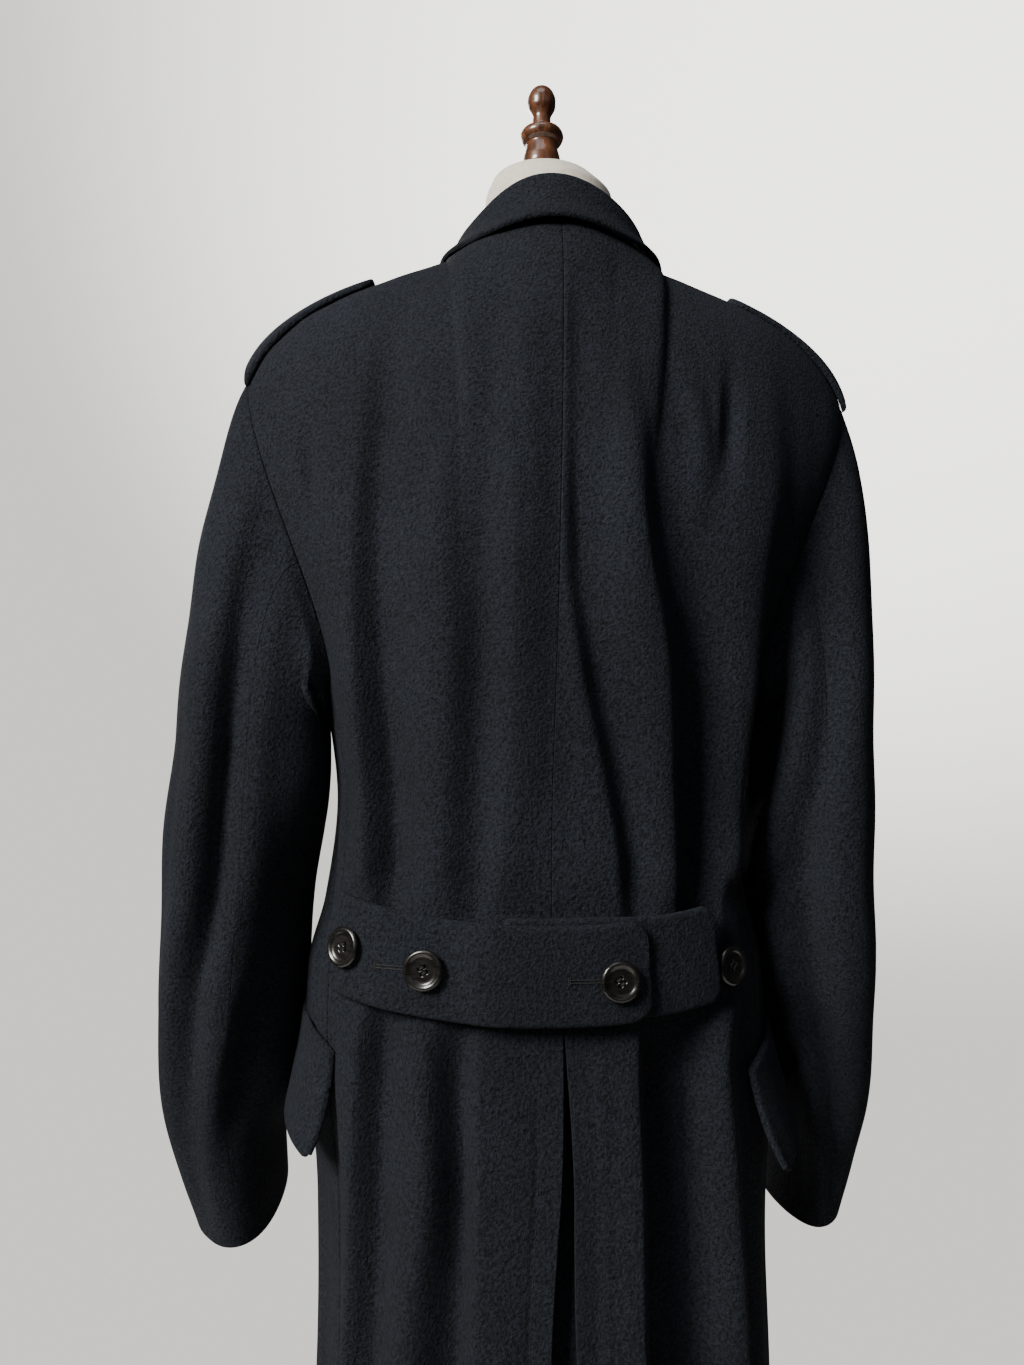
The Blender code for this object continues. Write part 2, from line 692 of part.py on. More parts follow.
def belt_band(name, across, half, level, inside):
    """A strip of the half belt: its columns run up the body, its ends are rounded by their half heights."""
    rows = np.array([1.0, 0.62, 0.0, -0.62, -1.0])[:, None]
    z = level[None, :] + rows * half[None, :]
    points, normals = ring_at(across + 0 * rows, z)
    inner = points + normals * inside[None, :, None]
    wall(name, inner + normals * BELT, inner, WOOL)


def belts():
    half = BELT_HEIGHT / 2
    over = np.array([
        0.144, 0.137, 0.130, 0.122, 0.112, 0.101, 0.09, 0.072, 0.054, 0.040, 0.027, 0.0, -0.020, -0.038, -0.050,
        -0.0565, -0.059,
    ])
    height = np.full(over.shape, half)
    height[-3:] = half * np.array([0.97, 0.82, 0.55])
    lifted = smooth((0.066 - over) / 0.030)
    belt_band("belt_left", over, height, belt_level(over), BELT_CLEAR + lifted * (BELT + 0.0008))
    under = np.array([
        -0.108, -0.106, -0.101, -0.095, -0.087, -0.079, -0.070, -0.054, -0.038, -0.020, 0.0, 0.022, 0.029, 0.032,
    ])
    height = np.full(under.shape, half)
    height[:2] = half * np.array([0.72, 0.92])
    height[-2:] = half * np.array([0.9, 0.7])
    level = belt_level(under) + 0.004 * smooth((under + 0.08) / 0.06)
    belt_band("belt_right", under, height, level, np.full(under.shape, BELT_CLEAR))
    top = BELT_CLEAR + BELT + SEAM
    for name, across, z, off in (
        ("button_belt_left", 0.078, 0.947, top),
        ("button_belt_right", -0.039, 0.941, top + BELT + 0.0008),
        ("button_side_left", 0.131, 0.956, top),
        ("button_side_right", -0.122, 0.942, 0.0015),
    ):
        at, out = ring_at(across, z)
        button(name, at + out * off, out, BUTTON_WIDE)


def flap(side, rear, start, flip):
    """A pocket flap: its top edge lies on the front, its lower edge stands away from it."""
    along_it = np.linspace(0, 1, 9)
    down = np.array([0.0, 0.25, 0.5, 0.75, 1.0])[:, None]
    share = start + 0.56 * along_it + 0.010 * down
    z = rear + 0.044 * along_it - 0.066 * down
    corner = smooth(np.minimum(along_it, 1 - along_it) / 0.10)
    z = z + (1 - corner) * 0.008 * down ** 3
    points = ring(share, z)
    ds = ring(share + 1e-4, z) - points
    dz = ring(share, z - 1e-4) - points
    normals = unit(np.cross(ds, dz))
    away = 0.0010 + down ** 1.6 * (0.022 - 0.014 * along_it)
    inner = points + normals * away[..., None]
    outer = inner + unit(normals + np.array([0, 0, 0.25]) * down[..., None]) * STRAP
    if flip:
        outer, inner = mirrored(outer), mirrored(inner)
    wall(f"pocket_flap_{side}", outer, inner, WOOL)


def button(name, place, facing, wide):
    """A coat button on a short shank of thread, with a raised rim and a dished middle."""
    r = wide / 2
    profile = [
        (0.0, 0.0046), (0.64 * r, 0.0046), (0.80 * r, 0.0058), (r, 0.0047),
        (0.97 * r, 0.0026), (0.28 * r, 0.0012), (0.28 * r, 0.0), (0.0, 0.0),
    ]
    turned(name, profile, HORN, 14, drifted(place), facing)


def front_buttons():
    for k, z in enumerate((1.335, 1.20, 1.065, 0.93, 0.795)):
        if z > CHEST_Z:
            dense = yoke(np.full(200, 2.0), np.linspace(0, 1, 200))
            at = np.array([0.0, np.interp(-z, -dense[:, 2], dense[:, 1]), z])
            near = np.array([0.0, np.interp(-(z - 0.01), -dense[:, 2], dense[:, 1]), z - 0.01])
        else:
            at, near = ring(2.0, z), ring(2.0, z - 0.01)
        slope = near - at
        out = unit(np.array([0.0, slope[2], -slope[1]]))
        lift = LAP + 2 * SEAM
        button(f"button_front_{k + 1}", at + out * lift, out, BUTTON_WIDE)


def form():
    """The dress form: the body drawn in under the cloth, closed round the arms, with a rounded neck."""
    neck = [0.0, 0.06, 0.12, 0.18, 0.24, 0.30]
    shoulder = [0.36, 0.52, 0.68, 0.80, 0.90]
    back = np.array(neck + shoulder + [1.0])
    shares = np.concatenate([back, 2 - back[-2::-1]])
    steps = np.array([0.0, 0.08, 0.20, 0.34, 0.50, 0.70, 1.0])
    levels = np.array([1.06, 0.98, 0.90, FORM_FOOT])
    inset = np.array([0.0042, 0.0058, 0.0084, 0.0150, 0.0225, 0.0275, 0.0285, 0.029, 0.027, 0.028, 0.032])
    points, normals = body_grid(shares, form=True, steps=steps, levels=levels)
    inset = inset[:, None] + 0.004 * smooth((shares[None, :] - 1.53) / 0.10)
    points = points - normals * inset[..., None]
    points[-1, :, 2] = FORM_FOOT
    first, count = len(neck), len(shares)
    for k in range(first, len(back) - 1):
        points[0, count - 1 - k] = points[0, k]
    points = drifted(np.concatenate([points, mirrored(points[:, -2:0:-1])], axis=1))
    rows, cols = points.shape[:2]
    faces, ids = grid_faces(rows, cols, 0, True)
    faces = faces.tolist()
    top = list(range(0, first + 1)) + list(range(count - first, count))
    top += [cols - k for k in reversed(top[1:-1])]
    loop = points[0, top]
    grid = points.reshape(-1, 3)
    turn = np.arctan2(loop[:, 0], loop[:, 1] + 0.010)
    rings = []
    for radius, z, share in NECK_RINGS:
        level = loop[:, 2] * share + z * (1 - share)
        rings.append(drifted(np.stack([radius * np.sin(turn), radius * np.cos(turn) - 0.004 * share, level], -1)))
    before = np.array(top)
    for ring_points in rings:
        here = len(grid) + np.arange(len(top))
        grid = np.concatenate([grid, ring_points])
        a, b = np.append(before, before[0]), np.append(here, here[0])
        faces += strip(a, b).tolist()
        before = here
    faces.append(before.tolist())
    faces.append(ids[-1, :-1].tolist())
    solid("form_torso", grid, faces, CREAM)


def finial():
    profile = [
        (0.0, 0.0708), (0.0045, 0.0700), (0.0085, 0.0665), (0.0108, 0.0600), (0.0105, 0.0545), (0.0080, 0.0495),
        (0.0068, 0.0455), (0.0070, 0.0400), (0.0095, 0.0365), (0.0150, 0.0345), (0.0167, 0.0305), (0.0150, 0.0265),
        (0.0118, 0.0240), (0.0125, 0.0190), (0.0140, 0.0130), (0.0142, 0.0080), (0.0125, 0.0030), (0.0110, 0.0),
        (0.0, 0.0),
    ]
    turned("finial", profile, WALNUT, 20, (0, 0, NECK_TOP + SEAM))


def stand():
    """Base plate, pole and the round plate that carries the torso, turned in one."""
    top = FORM_FOOT - SEAM
    wide = BASE_WIDE / 2
    profile = [
        (0.0, top), (0.045, top), (0.045, top - 0.008), (0.018, top - 0.014), (0.0125, top - 0.024),
        (0.0125, 0.075), (0.020, 0.060), (0.026, 0.035), (0.050, 0.026), (wide - 0.010, 0.020),
        (wide, 0.014), (wide, 0.0), (0.0, 0.0),
    ]
    turned("stand", profile, IRON, 36)


clear()
COAT = make_collection("wool_coat")
WOOL = material("wool_melton", (0.012, 0.013, 0.015), 0.9)
HORN = material("dark_horn", (0.06, 0.05, 0.045), 0.3)
CREAM = material("cream_cotton", (0.80, 0.77, 0.68), 0.9)
WALNUT = material("varnished_walnut", (0.10, 0.045, 0.02), 0.35)
IRON = material("painted_iron", (0.02, 0.02, 0.022), 0.45)
body_panels()
sleeve("left", SLEEVE_LEFT, ARM_FOLDS_LEFT, False)
sleeve("right", SLEEVE_RIGHT, ARM_FOLDS_RIGHT, True)
pleat()
collar()
strap("left", False)
strap("right", True)
belts()
flap("left", 0.888, 0.935, False)
flap("right", 0.873, 0.880, True)
front_buttons()
form()
finial()
stand()
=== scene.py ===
import math

import bmesh
import bpy
import numpy as np
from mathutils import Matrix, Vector


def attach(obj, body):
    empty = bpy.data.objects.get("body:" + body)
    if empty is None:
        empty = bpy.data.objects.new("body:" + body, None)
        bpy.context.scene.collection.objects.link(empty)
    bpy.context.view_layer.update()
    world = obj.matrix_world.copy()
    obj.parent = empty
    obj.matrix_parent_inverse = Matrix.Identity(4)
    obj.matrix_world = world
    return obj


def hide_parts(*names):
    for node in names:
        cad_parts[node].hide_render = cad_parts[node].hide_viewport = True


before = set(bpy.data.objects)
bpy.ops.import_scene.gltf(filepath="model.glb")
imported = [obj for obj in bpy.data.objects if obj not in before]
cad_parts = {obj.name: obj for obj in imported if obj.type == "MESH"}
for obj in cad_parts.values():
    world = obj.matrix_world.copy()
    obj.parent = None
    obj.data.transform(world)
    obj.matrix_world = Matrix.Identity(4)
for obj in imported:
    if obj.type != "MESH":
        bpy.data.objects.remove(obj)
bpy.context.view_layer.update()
print("frame loaded:", len(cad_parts), "nodes")

# Sizes that the whole coat shares, in metres
coat = {
    "cloth": 0.003,
    "lap": 0.0045,
    "shoulderGap": 0.0016,
    "seam": 0.0003,
    "chestZ": 1.130,
    "neckHalf": 0.080,
    "neckPointZ": 1.443,
    "neckShare": 0.36,
    "shoulderHalf": 0.220,
    "shoulderZ": 1.360,
    "shoulderTilt": 0.020,
    "squareness": 2.5,
}

# Body of the coat, a row per level: z, half width, depth behind, depth in front, side seam as a share
bodyLevels = np.array([
    (1.130, 0.157, 0.110, 0.118, 0.78),
    (1.045, 0.143, 0.108, 0.119, 0.75),
    (0.980, 0.150, 0.108, 0.121, 0.72),
    (0.935, 0.160, 0.108, 0.122, 0.70),
    (0.870, 0.161, 0.111, 0.124, 0.70),
    (0.780, 0.154, 0.116, 0.126, 0.71),
    (0.700, 0.152, 0.121, 0.128, 0.72),
    (0.480, 0.165, 0.136, 0.136, 0.74),
    (0.260, 0.180, 0.150, 0.145, 0.74),
])
# Shoulder panels: share, pull across at the seam, pull along it, then the pull into the chest in x, y and z
yokeBack = np.array([
    (0.00, 0.19, 0.00, 0.000, -0.010, -0.24),
    (0.36, 0.22, 0.00, 0.000, -0.020, -0.30),
    (0.70, 0.20, 0.00, 0.000, -0.010, -0.27),
    (1.00, 0.14, 0.12, -0.015, 0.000, -0.17),
])
yokeFront = np.array([
    (0.00, 0.17, 0.00, 0.000, 0.000, -0.20),
    (0.36, 0.22, 0.00, 0.000, 0.000, -0.28),
    (0.70, 0.24, 0.00, 0.000, 0.030, -0.24),
    (0.85, 0.28, 0.10, 0.000, 0.200, -0.05),
    (1.00, 0.28, 0.20, 0.030, 0.280, 0.00),
])
# How far the coat hangs off the middle line, a row per level
driftLevels = np.array([
    (1.520, 0.000), (1.500, -0.0055), (1.450, -0.007), (1.350, -0.005), (1.200, 0.000),
    (1.000, 0.006), (0.920, 0.006), (0.800, 0.001), (0.260, 0.000),
])


def smoothStep(t):
    # eased step from 0 to 1: t squared times three less twice t
    t = np.clip(t, 0.0, 1.0)
    return t * t * (3.0 - 2.0 * t)


def unitVec(v):
    return v / np.maximum(np.linalg.norm(v, axis=-1, keepdims=True), 1e-12)


def alongTable(table, at, column=1):
    # a cubic through one column of a table, its slopes the harmonic mean of the steps beside each row
    table = np.asarray(table, float)
    table = table[np.argsort(table[:, 0])]
    xs, ys = table[:, 0], table[:, column]
    h = np.diff(xs)
    slope = np.diff(ys) / h
    m = np.zeros_like(ys)
    m[0], m[-1] = slope[0], slope[-1]
    same = slope[:-1] * slope[1:] > 0
    mean = 2.0 * slope[:-1] * slope[1:] / np.where(same, slope[:-1] + slope[1:], 1.0)
    m[1:-1] = np.where(same, mean, 0.0)
    at = np.clip(at, xs[0], xs[-1])
    i = np.clip(np.searchsorted(xs, at) - 1, 0, len(h) - 1)
    t = (at - xs[i]) / h[i]
    return (ys[i] * (1 + 2 * t) * (1 - t) ** 2 + m[i] * h[i] * t * (1 - t) ** 2
            + ys[i + 1] * t * t * (3 - 2 * t) + m[i + 1] * h[i] * t * t * (t - 1))


def hermiteCurve(p0, t0, p1, t1, v):
    # cubic from p0 to p1 that leaves along t0 and arrives along t1
    v = v[..., None]
    return (p0 * (1 + 2 * v) * (1 - v) ** 2 + t0 * v * (1 - v) ** 2
            + p1 * v * v * (3 - 2 * v) + t1 * v * v * (v - 1))


def hexLinear(text):
    value = np.array([int(text[k:k + 2], 16) / 255 for k in (0, 2, 4)])
    linear = np.where(value <= 0.04045, value / 12.92, ((value + 0.055) / 1.055) ** 2.4)
    return (*linear.tolist(), 1.0)


# Materials

def addNode(tree, kind, values=None, links=None):
    node = tree.nodes.new(kind)
    for name, value in (values or {}).items():
        if isinstance(name, str) and hasattr(node, name):
            setattr(node, name, value)
        else:
            node.inputs[name].default_value = value
    for name, socket in (links or {}).items():
        tree.links.new(socket, node.inputs[name])
    return node


def startMaterial(name, sockets):
    made = bpy.data.materials.new(name)
    made.use_nodes = True
    tree = made.node_tree
    shader = tree.nodes["Principled BSDF"]
    for socket, value in sockets.items():
        shader.inputs[socket].default_value = value
    coords = addNode(tree, "ShaderNodeTexCoord").outputs["Object"]
    return made, tree, shader, coords


def rampBetween(tree, factor, low, high, colourLow, colourHigh):
    ramp = addNode(tree, "ShaderNodeValToRGB", links={"Fac": factor})
    ramp.color_ramp.elements[0].position = low
    ramp.color_ramp.elements[1].position = high
    ramp.color_ramp.elements[0].color = hexLinear(colourLow)
    ramp.color_ramp.elements[1].color = hexLinear(colourHigh)
    return ramp.outputs["Color"]


def noiseAt(tree, coords, scale, detail, rough=0.5, bend=0.0):
    values = {"Scale": scale, "Detail": detail, "Roughness": rough, "Distortion": bend}
    return addNode(tree, "ShaderNodeTexNoise", values, {"Vector": coords}).outputs["Fac"]


def stretched(tree, coords, scale):
    return addNode(tree, "ShaderNodeMapping", {"Scale": scale}, {"Vector": coords}).outputs[0]


def dressShader(tree, shader, colour, height, strength, distance):
    # the colour, and a bump raised from the height over a distance in metres
    bump = addNode(tree, "ShaderNodeBump", {"Strength": strength, "Distance": distance}, {"Height": height})
    tree.links.new(colour, shader.inputs["Base Color"])
    tree.links.new(bump.outputs["Normal"], shader.inputs["Normal"])


def makeMelton(name, dark, light, nap):
    # Milled wool melton: woven, fulled and brushed, so no thread shows, only a pebbled nap about 2 mm across
    made, tree, shader, coords = startMaterial(name, {
        "Roughness": 0.92, "Specular IOR Level": 0.16, "Sheen Weight": nap["sheen"],
        "Sheen Roughness": 0.55, "Sheen Tint": hexLinear("8b93a3")})
    pebble = noiseAt(tree, coords, 1 / nap["pebble"], 3.0, 0.62)
    fibre = noiseAt(tree, coords, 1 / nap["fibre"], 2.0, 0.6)
    cloud = noiseAt(tree, coords, 1 / nap["cloud"], 4.0, 0.55)
    scaled = addNode(tree, "ShaderNodeMath", {"operation": "MULTIPLY", 1: 0.65}, {0: pebble})
    mixed = addNode(tree, "ShaderNodeMath", {"operation": "MULTIPLY_ADD", 1: 0.35},
                    {0: fibre, 2: scaled.outputs[0]})
    tone = rampBetween(tree, mixed.outputs[0], 0.34, 0.66, dark, light)
    worn = addNode(tree, "ShaderNodeMapRange", {
        "From Min": 0.3, "From Max": 0.7, "To Min": 0.82, "To Max": 1.16}, {"Value": cloud})
    colour = addNode(tree, "ShaderNodeVectorMath", {"operation": "SCALE"},
                     {0: tone, "Scale": worn.outputs["Result"]})
    tree.links.new(colour.outputs[0], shader.inputs["Base Color"])
    coarse = addNode(tree, "ShaderNodeBump", {"Strength": nap["coarse"], "Distance": 0.0024},
                     {"Height": pebble})
    fine = addNode(tree, "ShaderNodeBump", {"Strength": nap["fine"], "Distance": 0.0007},
                   {"Height": fibre, "Normal": coarse.outputs["Normal"]})
    tree.links.new(fine.outputs["Normal"], shader.inputs["Normal"])
    return made


def makeHorn():
    # Polished buffalo horn: dark grey-brown with pale streaks, cut and buffed, so the rim shines
    made, tree, shader, coords = startMaterial("polished_dark_horn", {
        "IOR": 1.55, "Coat Weight": 0.35, "Coat Roughness": 0.12})
    grain = noiseAt(tree, stretched(tree, coords, (60.0, 60.0, 380.0)), 1.6, 4.0, 0.6)
    rough = addNode(tree, "ShaderNodeMapRange", {"To Min": 0.20, "To Max": 0.38}, {"Value": grain})
    tree.links.new(rampBetween(tree, grain, 0.30, 0.80, "0e0d0c", "1f1d1b"), shader.inputs["Base Color"])
    tree.links.new(rough.outputs["Result"], shader.inputs["Roughness"])
    return made


def makeThread():
    # Waxed buttonhole twist: tightly plied, with a slight gloss
    made, tree, shader, coords = startMaterial("waxed_buttonhole_twist", {"Roughness": 0.7})
    ply = noiseAt(tree, coords, 2500.0, 2.0)
    dressShader(tree, shader, rampBetween(tree, ply, 0.3, 0.7, "08080a", "16161a"), ply, 0.4, 0.0002)
    return made


def makeCotton():
    # Unbleached cotton jersey over the form: fine knit, 0.9 mm courses drawn at 1.1 mm to show
    made, tree, shader, coords = startMaterial("unbleached_cotton_jersey", {
        "Roughness": 0.88, "Sheen Weight": 0.15, "Sheen Roughness": 0.5})
    course = addNode(tree, "ShaderNodeTexWave", {
        "wave_type": "BANDS", "bands_direction": "Z", "Scale": 145.0, "Distortion": 1.2, "Detail": 1.0},
        {"Vector": coords}).outputs["Fac"]
    slub = noiseAt(tree, coords, 260.0, 3.0)
    dressShader(tree, shader, rampBetween(tree, slub, 0.3, 0.7, "d8d0bf", "e9e3d6"), course, 0.25, 0.0004)
    return made


def makeWalnut():
    # Turned walnut under clear varnish: brown with darker growth lines running up the spindle
    made, tree, shader, coords = startMaterial("varnished_walnut", {
        "Roughness": 0.38, "Coat Weight": 0.8, "Coat Roughness": 0.10, "Coat IOR": 1.5})
    grain = noiseAt(tree, stretched(tree, coords, (240.0, 240.0, 34.0)), 1.0, 5.0, 0.65, 0.6)
    dressShader(tree, shader, rampBetween(tree, grain, 0.32, 0.70, "2b150b", "7a4c30"), grain, 0.15, 0.0003)
    return made


def makeIron():
    # Cast iron under satin black paint, its sand-cast skin showing as a faint orange peel
    made, tree, shader, coords = startMaterial("painted_cast_iron", {"Roughness": 0.42})
    peel = noiseAt(tree, coords, 420.0, 2.0)
    rub = noiseAt(tree, coords, 14.0, 5.0)
    dressShader(tree, shader, rampBetween(tree, rub, 0.35, 0.75, "17171a", "2a2a2d"), peel, 0.2, 0.0005)
    return made


nap = {"pebble": 0.0021, "fibre": 0.0008, "cloud": 0.11, "coarse": 1.0, "fine": 0.8, "sheen": 0.04}
melton = makeMelton("wool_melton", "050609", "2a2f38", nap)
horn, thread, cotton, walnut, iron = makeHorn(), makeThread(), makeCotton(), makeWalnut(), makeIron()
print("materials made")


# Building meshes

def drifted(points):
    # the left shoulder sits a little higher, and the coat hangs off the middle line by a table over height
    moved = np.array(points, float)
    moved[..., 2] += coat["shoulderTilt"] * moved[..., 0] * smoothStep((moved[..., 2] - 1.25) / 0.12)
    moved[..., 0] += alongTable(driftLevels, moved[..., 2])
    return moved


def faceOutwards(mesh):
    edit = bmesh.new()
    edit.from_mesh(mesh)
    bmesh.ops.remove_doubles(edit, verts=edit.verts, dist=1e-7)
    bmesh.ops.recalc_face_normals(edit, faces=edit.faces)
    edit.to_mesh(mesh)
    edit.free()


def meshPiece(name, points, faces, look, node=None):
    mesh = bpy.data.meshes.new(name)
    mesh.from_pydata(np.asarray(points).reshape(-1, 3).tolist(), [], faces)
    mesh.materials.append(look)
    faceOutwards(mesh)
    mesh.polygons.foreach_set("use_smooth", np.full(len(mesh.polygons), True))
    piece = bpy.data.objects.new(name, mesh)
    bpy.context.scene.collection.objects.link(piece)
    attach(piece, "root")
    if node:
        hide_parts(node)
    return piece


def gridIds(rows, cols, first, around):
    ids = first + np.arange(rows * cols).reshape(rows, cols)
    return np.concatenate([ids, ids[:, :1]], axis=1) if around else ids


def gridQuads(ids):
    return np.stack([ids[:-1, :-1], ids[1:, :-1], ids[1:, 1:], ids[:-1, 1:]], -1).reshape(-1, 4)


def stripQuads(a, b):
    return np.stack([a[:-1], b[:-1], b[1:], a[1:]], -1)


def gridNormals(points):
    # at each point the sum of the crossed diagonals of the faces round it, at length one
    face = np.cross(points[1:, 1:] - points[:-1, :-1], points[1:, :-1] - points[:-1, 1:])
    total = np.zeros_like(points)
    for rows in (slice(None, -1), slice(1, None)):
        for cols in (slice(None, -1), slice(1, None)):
            total[rows, cols] += face
    return unitVec(total)


def runLength(points, axis):
    # length along the rows or columns of a grid, from its first point
    step = np.linalg.norm(np.diff(points, axis=axis), axis=-1)
    zero = np.zeros_like(np.take(step, [0], axis=axis))
    return np.concatenate([zero, np.cumsum(step, axis=axis)], axis=axis)


def facing(normals, guide):
    return normals if (normals * guide).sum() > 0 else -normals


def edgeDrop(points, radius, edges):
    # depth of a quarter round along each named edge, by distance from it; a seam's own radius may be smaller
    across, down = runLength(points, 1), runLength(points, 0)
    away = {"left": across, "right": across[:, -1:] - across, "top": down, "bottom": down[-1:] - down}
    drop = np.zeros(points.shape[:2])
    for edge in edges:
        own = edges[edge] if isinstance(edges, dict) else radius
        near = 1 - np.clip(away[edge] / own, 0, 1)
        drop = np.maximum(drop, own * (1 - np.sqrt(1 - near ** 2)))
    return drop


def clothShell(name, node, points, normals, edges=("left", "right", "top", "bottom"), thick=coat["cloth"],
               mirror=False, radius=0.0018):
    # a closed cloth wall: outer grid with rounded edges, inner grid a thickness below, and a rim between
    drop = edgeDrop(points, min(radius, 0.9 * thick), edges)
    side = [-1, 1, 1] if mirror else [1, 1, 1]
    outer = drifted((points - normals * drop[..., None]) * side)
    inner = drifted((points - normals * thick) * side)
    rows, cols = outer.shape[:2]
    top, low = gridIds(rows, cols, 0, False), gridIds(rows, cols, rows * cols, False)
    faces = np.concatenate([
        gridQuads(top), gridQuads(low)[:, ::-1], stripQuads(low[0], top[0]), stripQuads(top[-1], low[-1]),
        stripQuads(top[:, 0], low[:, 0]), stripQuads(low[:, -1], top[:, -1])])
    return meshPiece(name, np.stack([outer, inner]), faces.tolist(), melton, node)


def cutOf(points):
    # the flat cut that a surface was made from: its longest row, its middle column and its area
    across, down = runLength(points, 1)[:, -1].max(), runLength(points, 0)[-1, points.shape[1] // 2]
    a, b = points[1:, 1:] - points[:-1, :-1], points[1:, :-1] - points[:-1, 1:]
    area = 0.5 * np.linalg.norm(np.cross(a, b), axis=-1).sum()
    return float(across), float(down), float(area)


def declareCloth(piece, points):
    # where the middle column is not the longest, the length is the one that holds the area
    width, length, area = cutOf(points)
    length = max(length, area / width)
    print("  cloth", piece.name, round(width, 3), "x", round(length, 3), "area", round(area, 4))


def edgePacked(values, reach):
    # the values with three more close to each end, so that a rounded edge has points to bend on
    values = np.asarray(values, float)
    sign = np.sign(values[-1] - values[0])
    near = np.array([0.25, 0.55, 1.0]) * reach * sign
    inside = values[(np.abs(values - values[0]) > 1.4 * reach) & (np.abs(values - values[-1]) > 1.4 * reach)]
    return np.concatenate([values[:1], values[0] + near, inside, values[-1] - near[::-1], values[-1:]])


# Body of the coat

def quarterRun():
    # share of the length of a quarter of the rounded-square section against its angle
    angle = np.linspace(0, math.pi / 2, 721)
    x = 0.162 * np.sin(angle) ** (2 / coat["squareness"])
    y = 0.112 * np.cos(angle) ** (2 / coat["squareness"])
    run = np.concatenate([[0], np.cumsum(np.hypot(np.diff(x), np.diff(y)))])
    return run / run[-1], angle


ringRun, ringAngle = quarterRun()


def bodyRing(s, z):
    # superellipse of the body at height z: s is 0 at the centre back, 1 at the side seam, 2 in front
    s, z = np.broadcast_arrays(np.asarray(s, float), np.asarray(z, float))
    side = alongTable(bodyLevels, z, 4)
    turn = np.where(s <= 1, s * side, side + (s - 1) * (2 - side))
    past = turn > 2
    turn = np.where(past, 4 - turn, turn)
    behind = turn <= 1
    angle = np.interp(np.where(behind, turn, 2 - turn), ringRun, ringAngle)
    depth = np.where(behind, alongTable(bodyLevels, z, 2), -alongTable(bodyLevels, z, 3))
    x = alongTable(bodyLevels, z, 1) * np.sin(angle) ** (2 / coat["squareness"])
    y = depth * np.abs(np.cos(angle)) ** (2 / coat["squareness"])
    return np.stack([np.where(past, -x, x), y, z], -1)


def seamLine(share, front):
    # quarter ellipse round the neck, then a cubic along the shoulder to the armhole
    share = np.asarray(share, float)
    angle = np.clip(share / coat["neckShare"], 0, 1) * math.pi / 2
    depth, drop = (-0.085, -0.048) if front else (0.054, 0.019)
    neck = np.stack([coat["neckHalf"] * np.sin(angle), 0.008 + depth * np.cos(angle),
                     coat["neckPointZ"] + drop * np.cos(angle) ** (1 if front else 4)], -1)
    t = np.clip((share - coat["neckShare"]) / (1 - coat["neckShare"]), 0, 1)
    slope = hermiteCurve(
        np.array([coat["neckHalf"], 0.008, coat["neckPointZ"]]), np.array([0.16, -0.008, -0.055]),
        np.array([coat["shoulderHalf"], 0.0, coat["shoulderZ"]]), np.array([0.055, -0.008, -0.13]), t)
    return np.where((share < coat["neckShare"])[..., None], neck, slope)


def seamWay(share):
    # direction of the shoulder seam, from two points close to the share
    lo = np.clip(share, coat["neckShare"] + 1e-4, 1 - 1e-4)
    return unitVec(seamLine(lo + 1e-4, False) - seamLine(lo - 1e-4, False))


def yokeAt(s, v, form=False):
    # cubic from the shoulder seam to the chest ring, its pulls read from the shoulder tables
    s, v = np.broadcast_arrays(np.asarray(s, float), np.asarray(v, float))
    out = np.zeros(s.shape + (3,))
    for front, table, sign in ((False, yokeBack, 1.0), (True, yokeFront, -1.0)):
        pick = (s > 1) if front else (s <= 1)
        if not pick.any():
            continue
        past = s[pick] > 2 if front else np.zeros(s[pick].shape, bool)
        share = np.clip(2 - s[pick] if front else s[pick], 0, 1)
        share = np.where(past, s[pick] - 2, share)
        if form:
            table = table[table[:, 0] != 0.85].copy()
            table[-1] = (1.0, 0.02, 0.10, 0.0, 0.0, -0.20)
        neck = np.clip(1.5 * (1 - share / coat["neckShare"]), 0, 1)[:, None]
        down, flat = np.array([0.0, 0.5 * sign, -0.86]), np.array([0.0, sign, 0.0])
        start = alongTable(table, share, 1)[:, None] * unitVec(neck * down + (1 - neck) * flat)
        start = start + alongTable(table, share, 2)[:, None] * seamWay(share)
        end = np.stack([alongTable(table, share, k) for k in (3, 4, 5)], -1)
        chest = bodyRing(np.where(s[pick] > 2, 4 - s[pick], s[pick]), coat["chestZ"])
        made = hermiteCurve(seamLine(share, front), start, chest, end, v[pick])
        made[..., 0] = np.where(past, -made[..., 0], made[..., 0])
        out[pick] = made
    return out


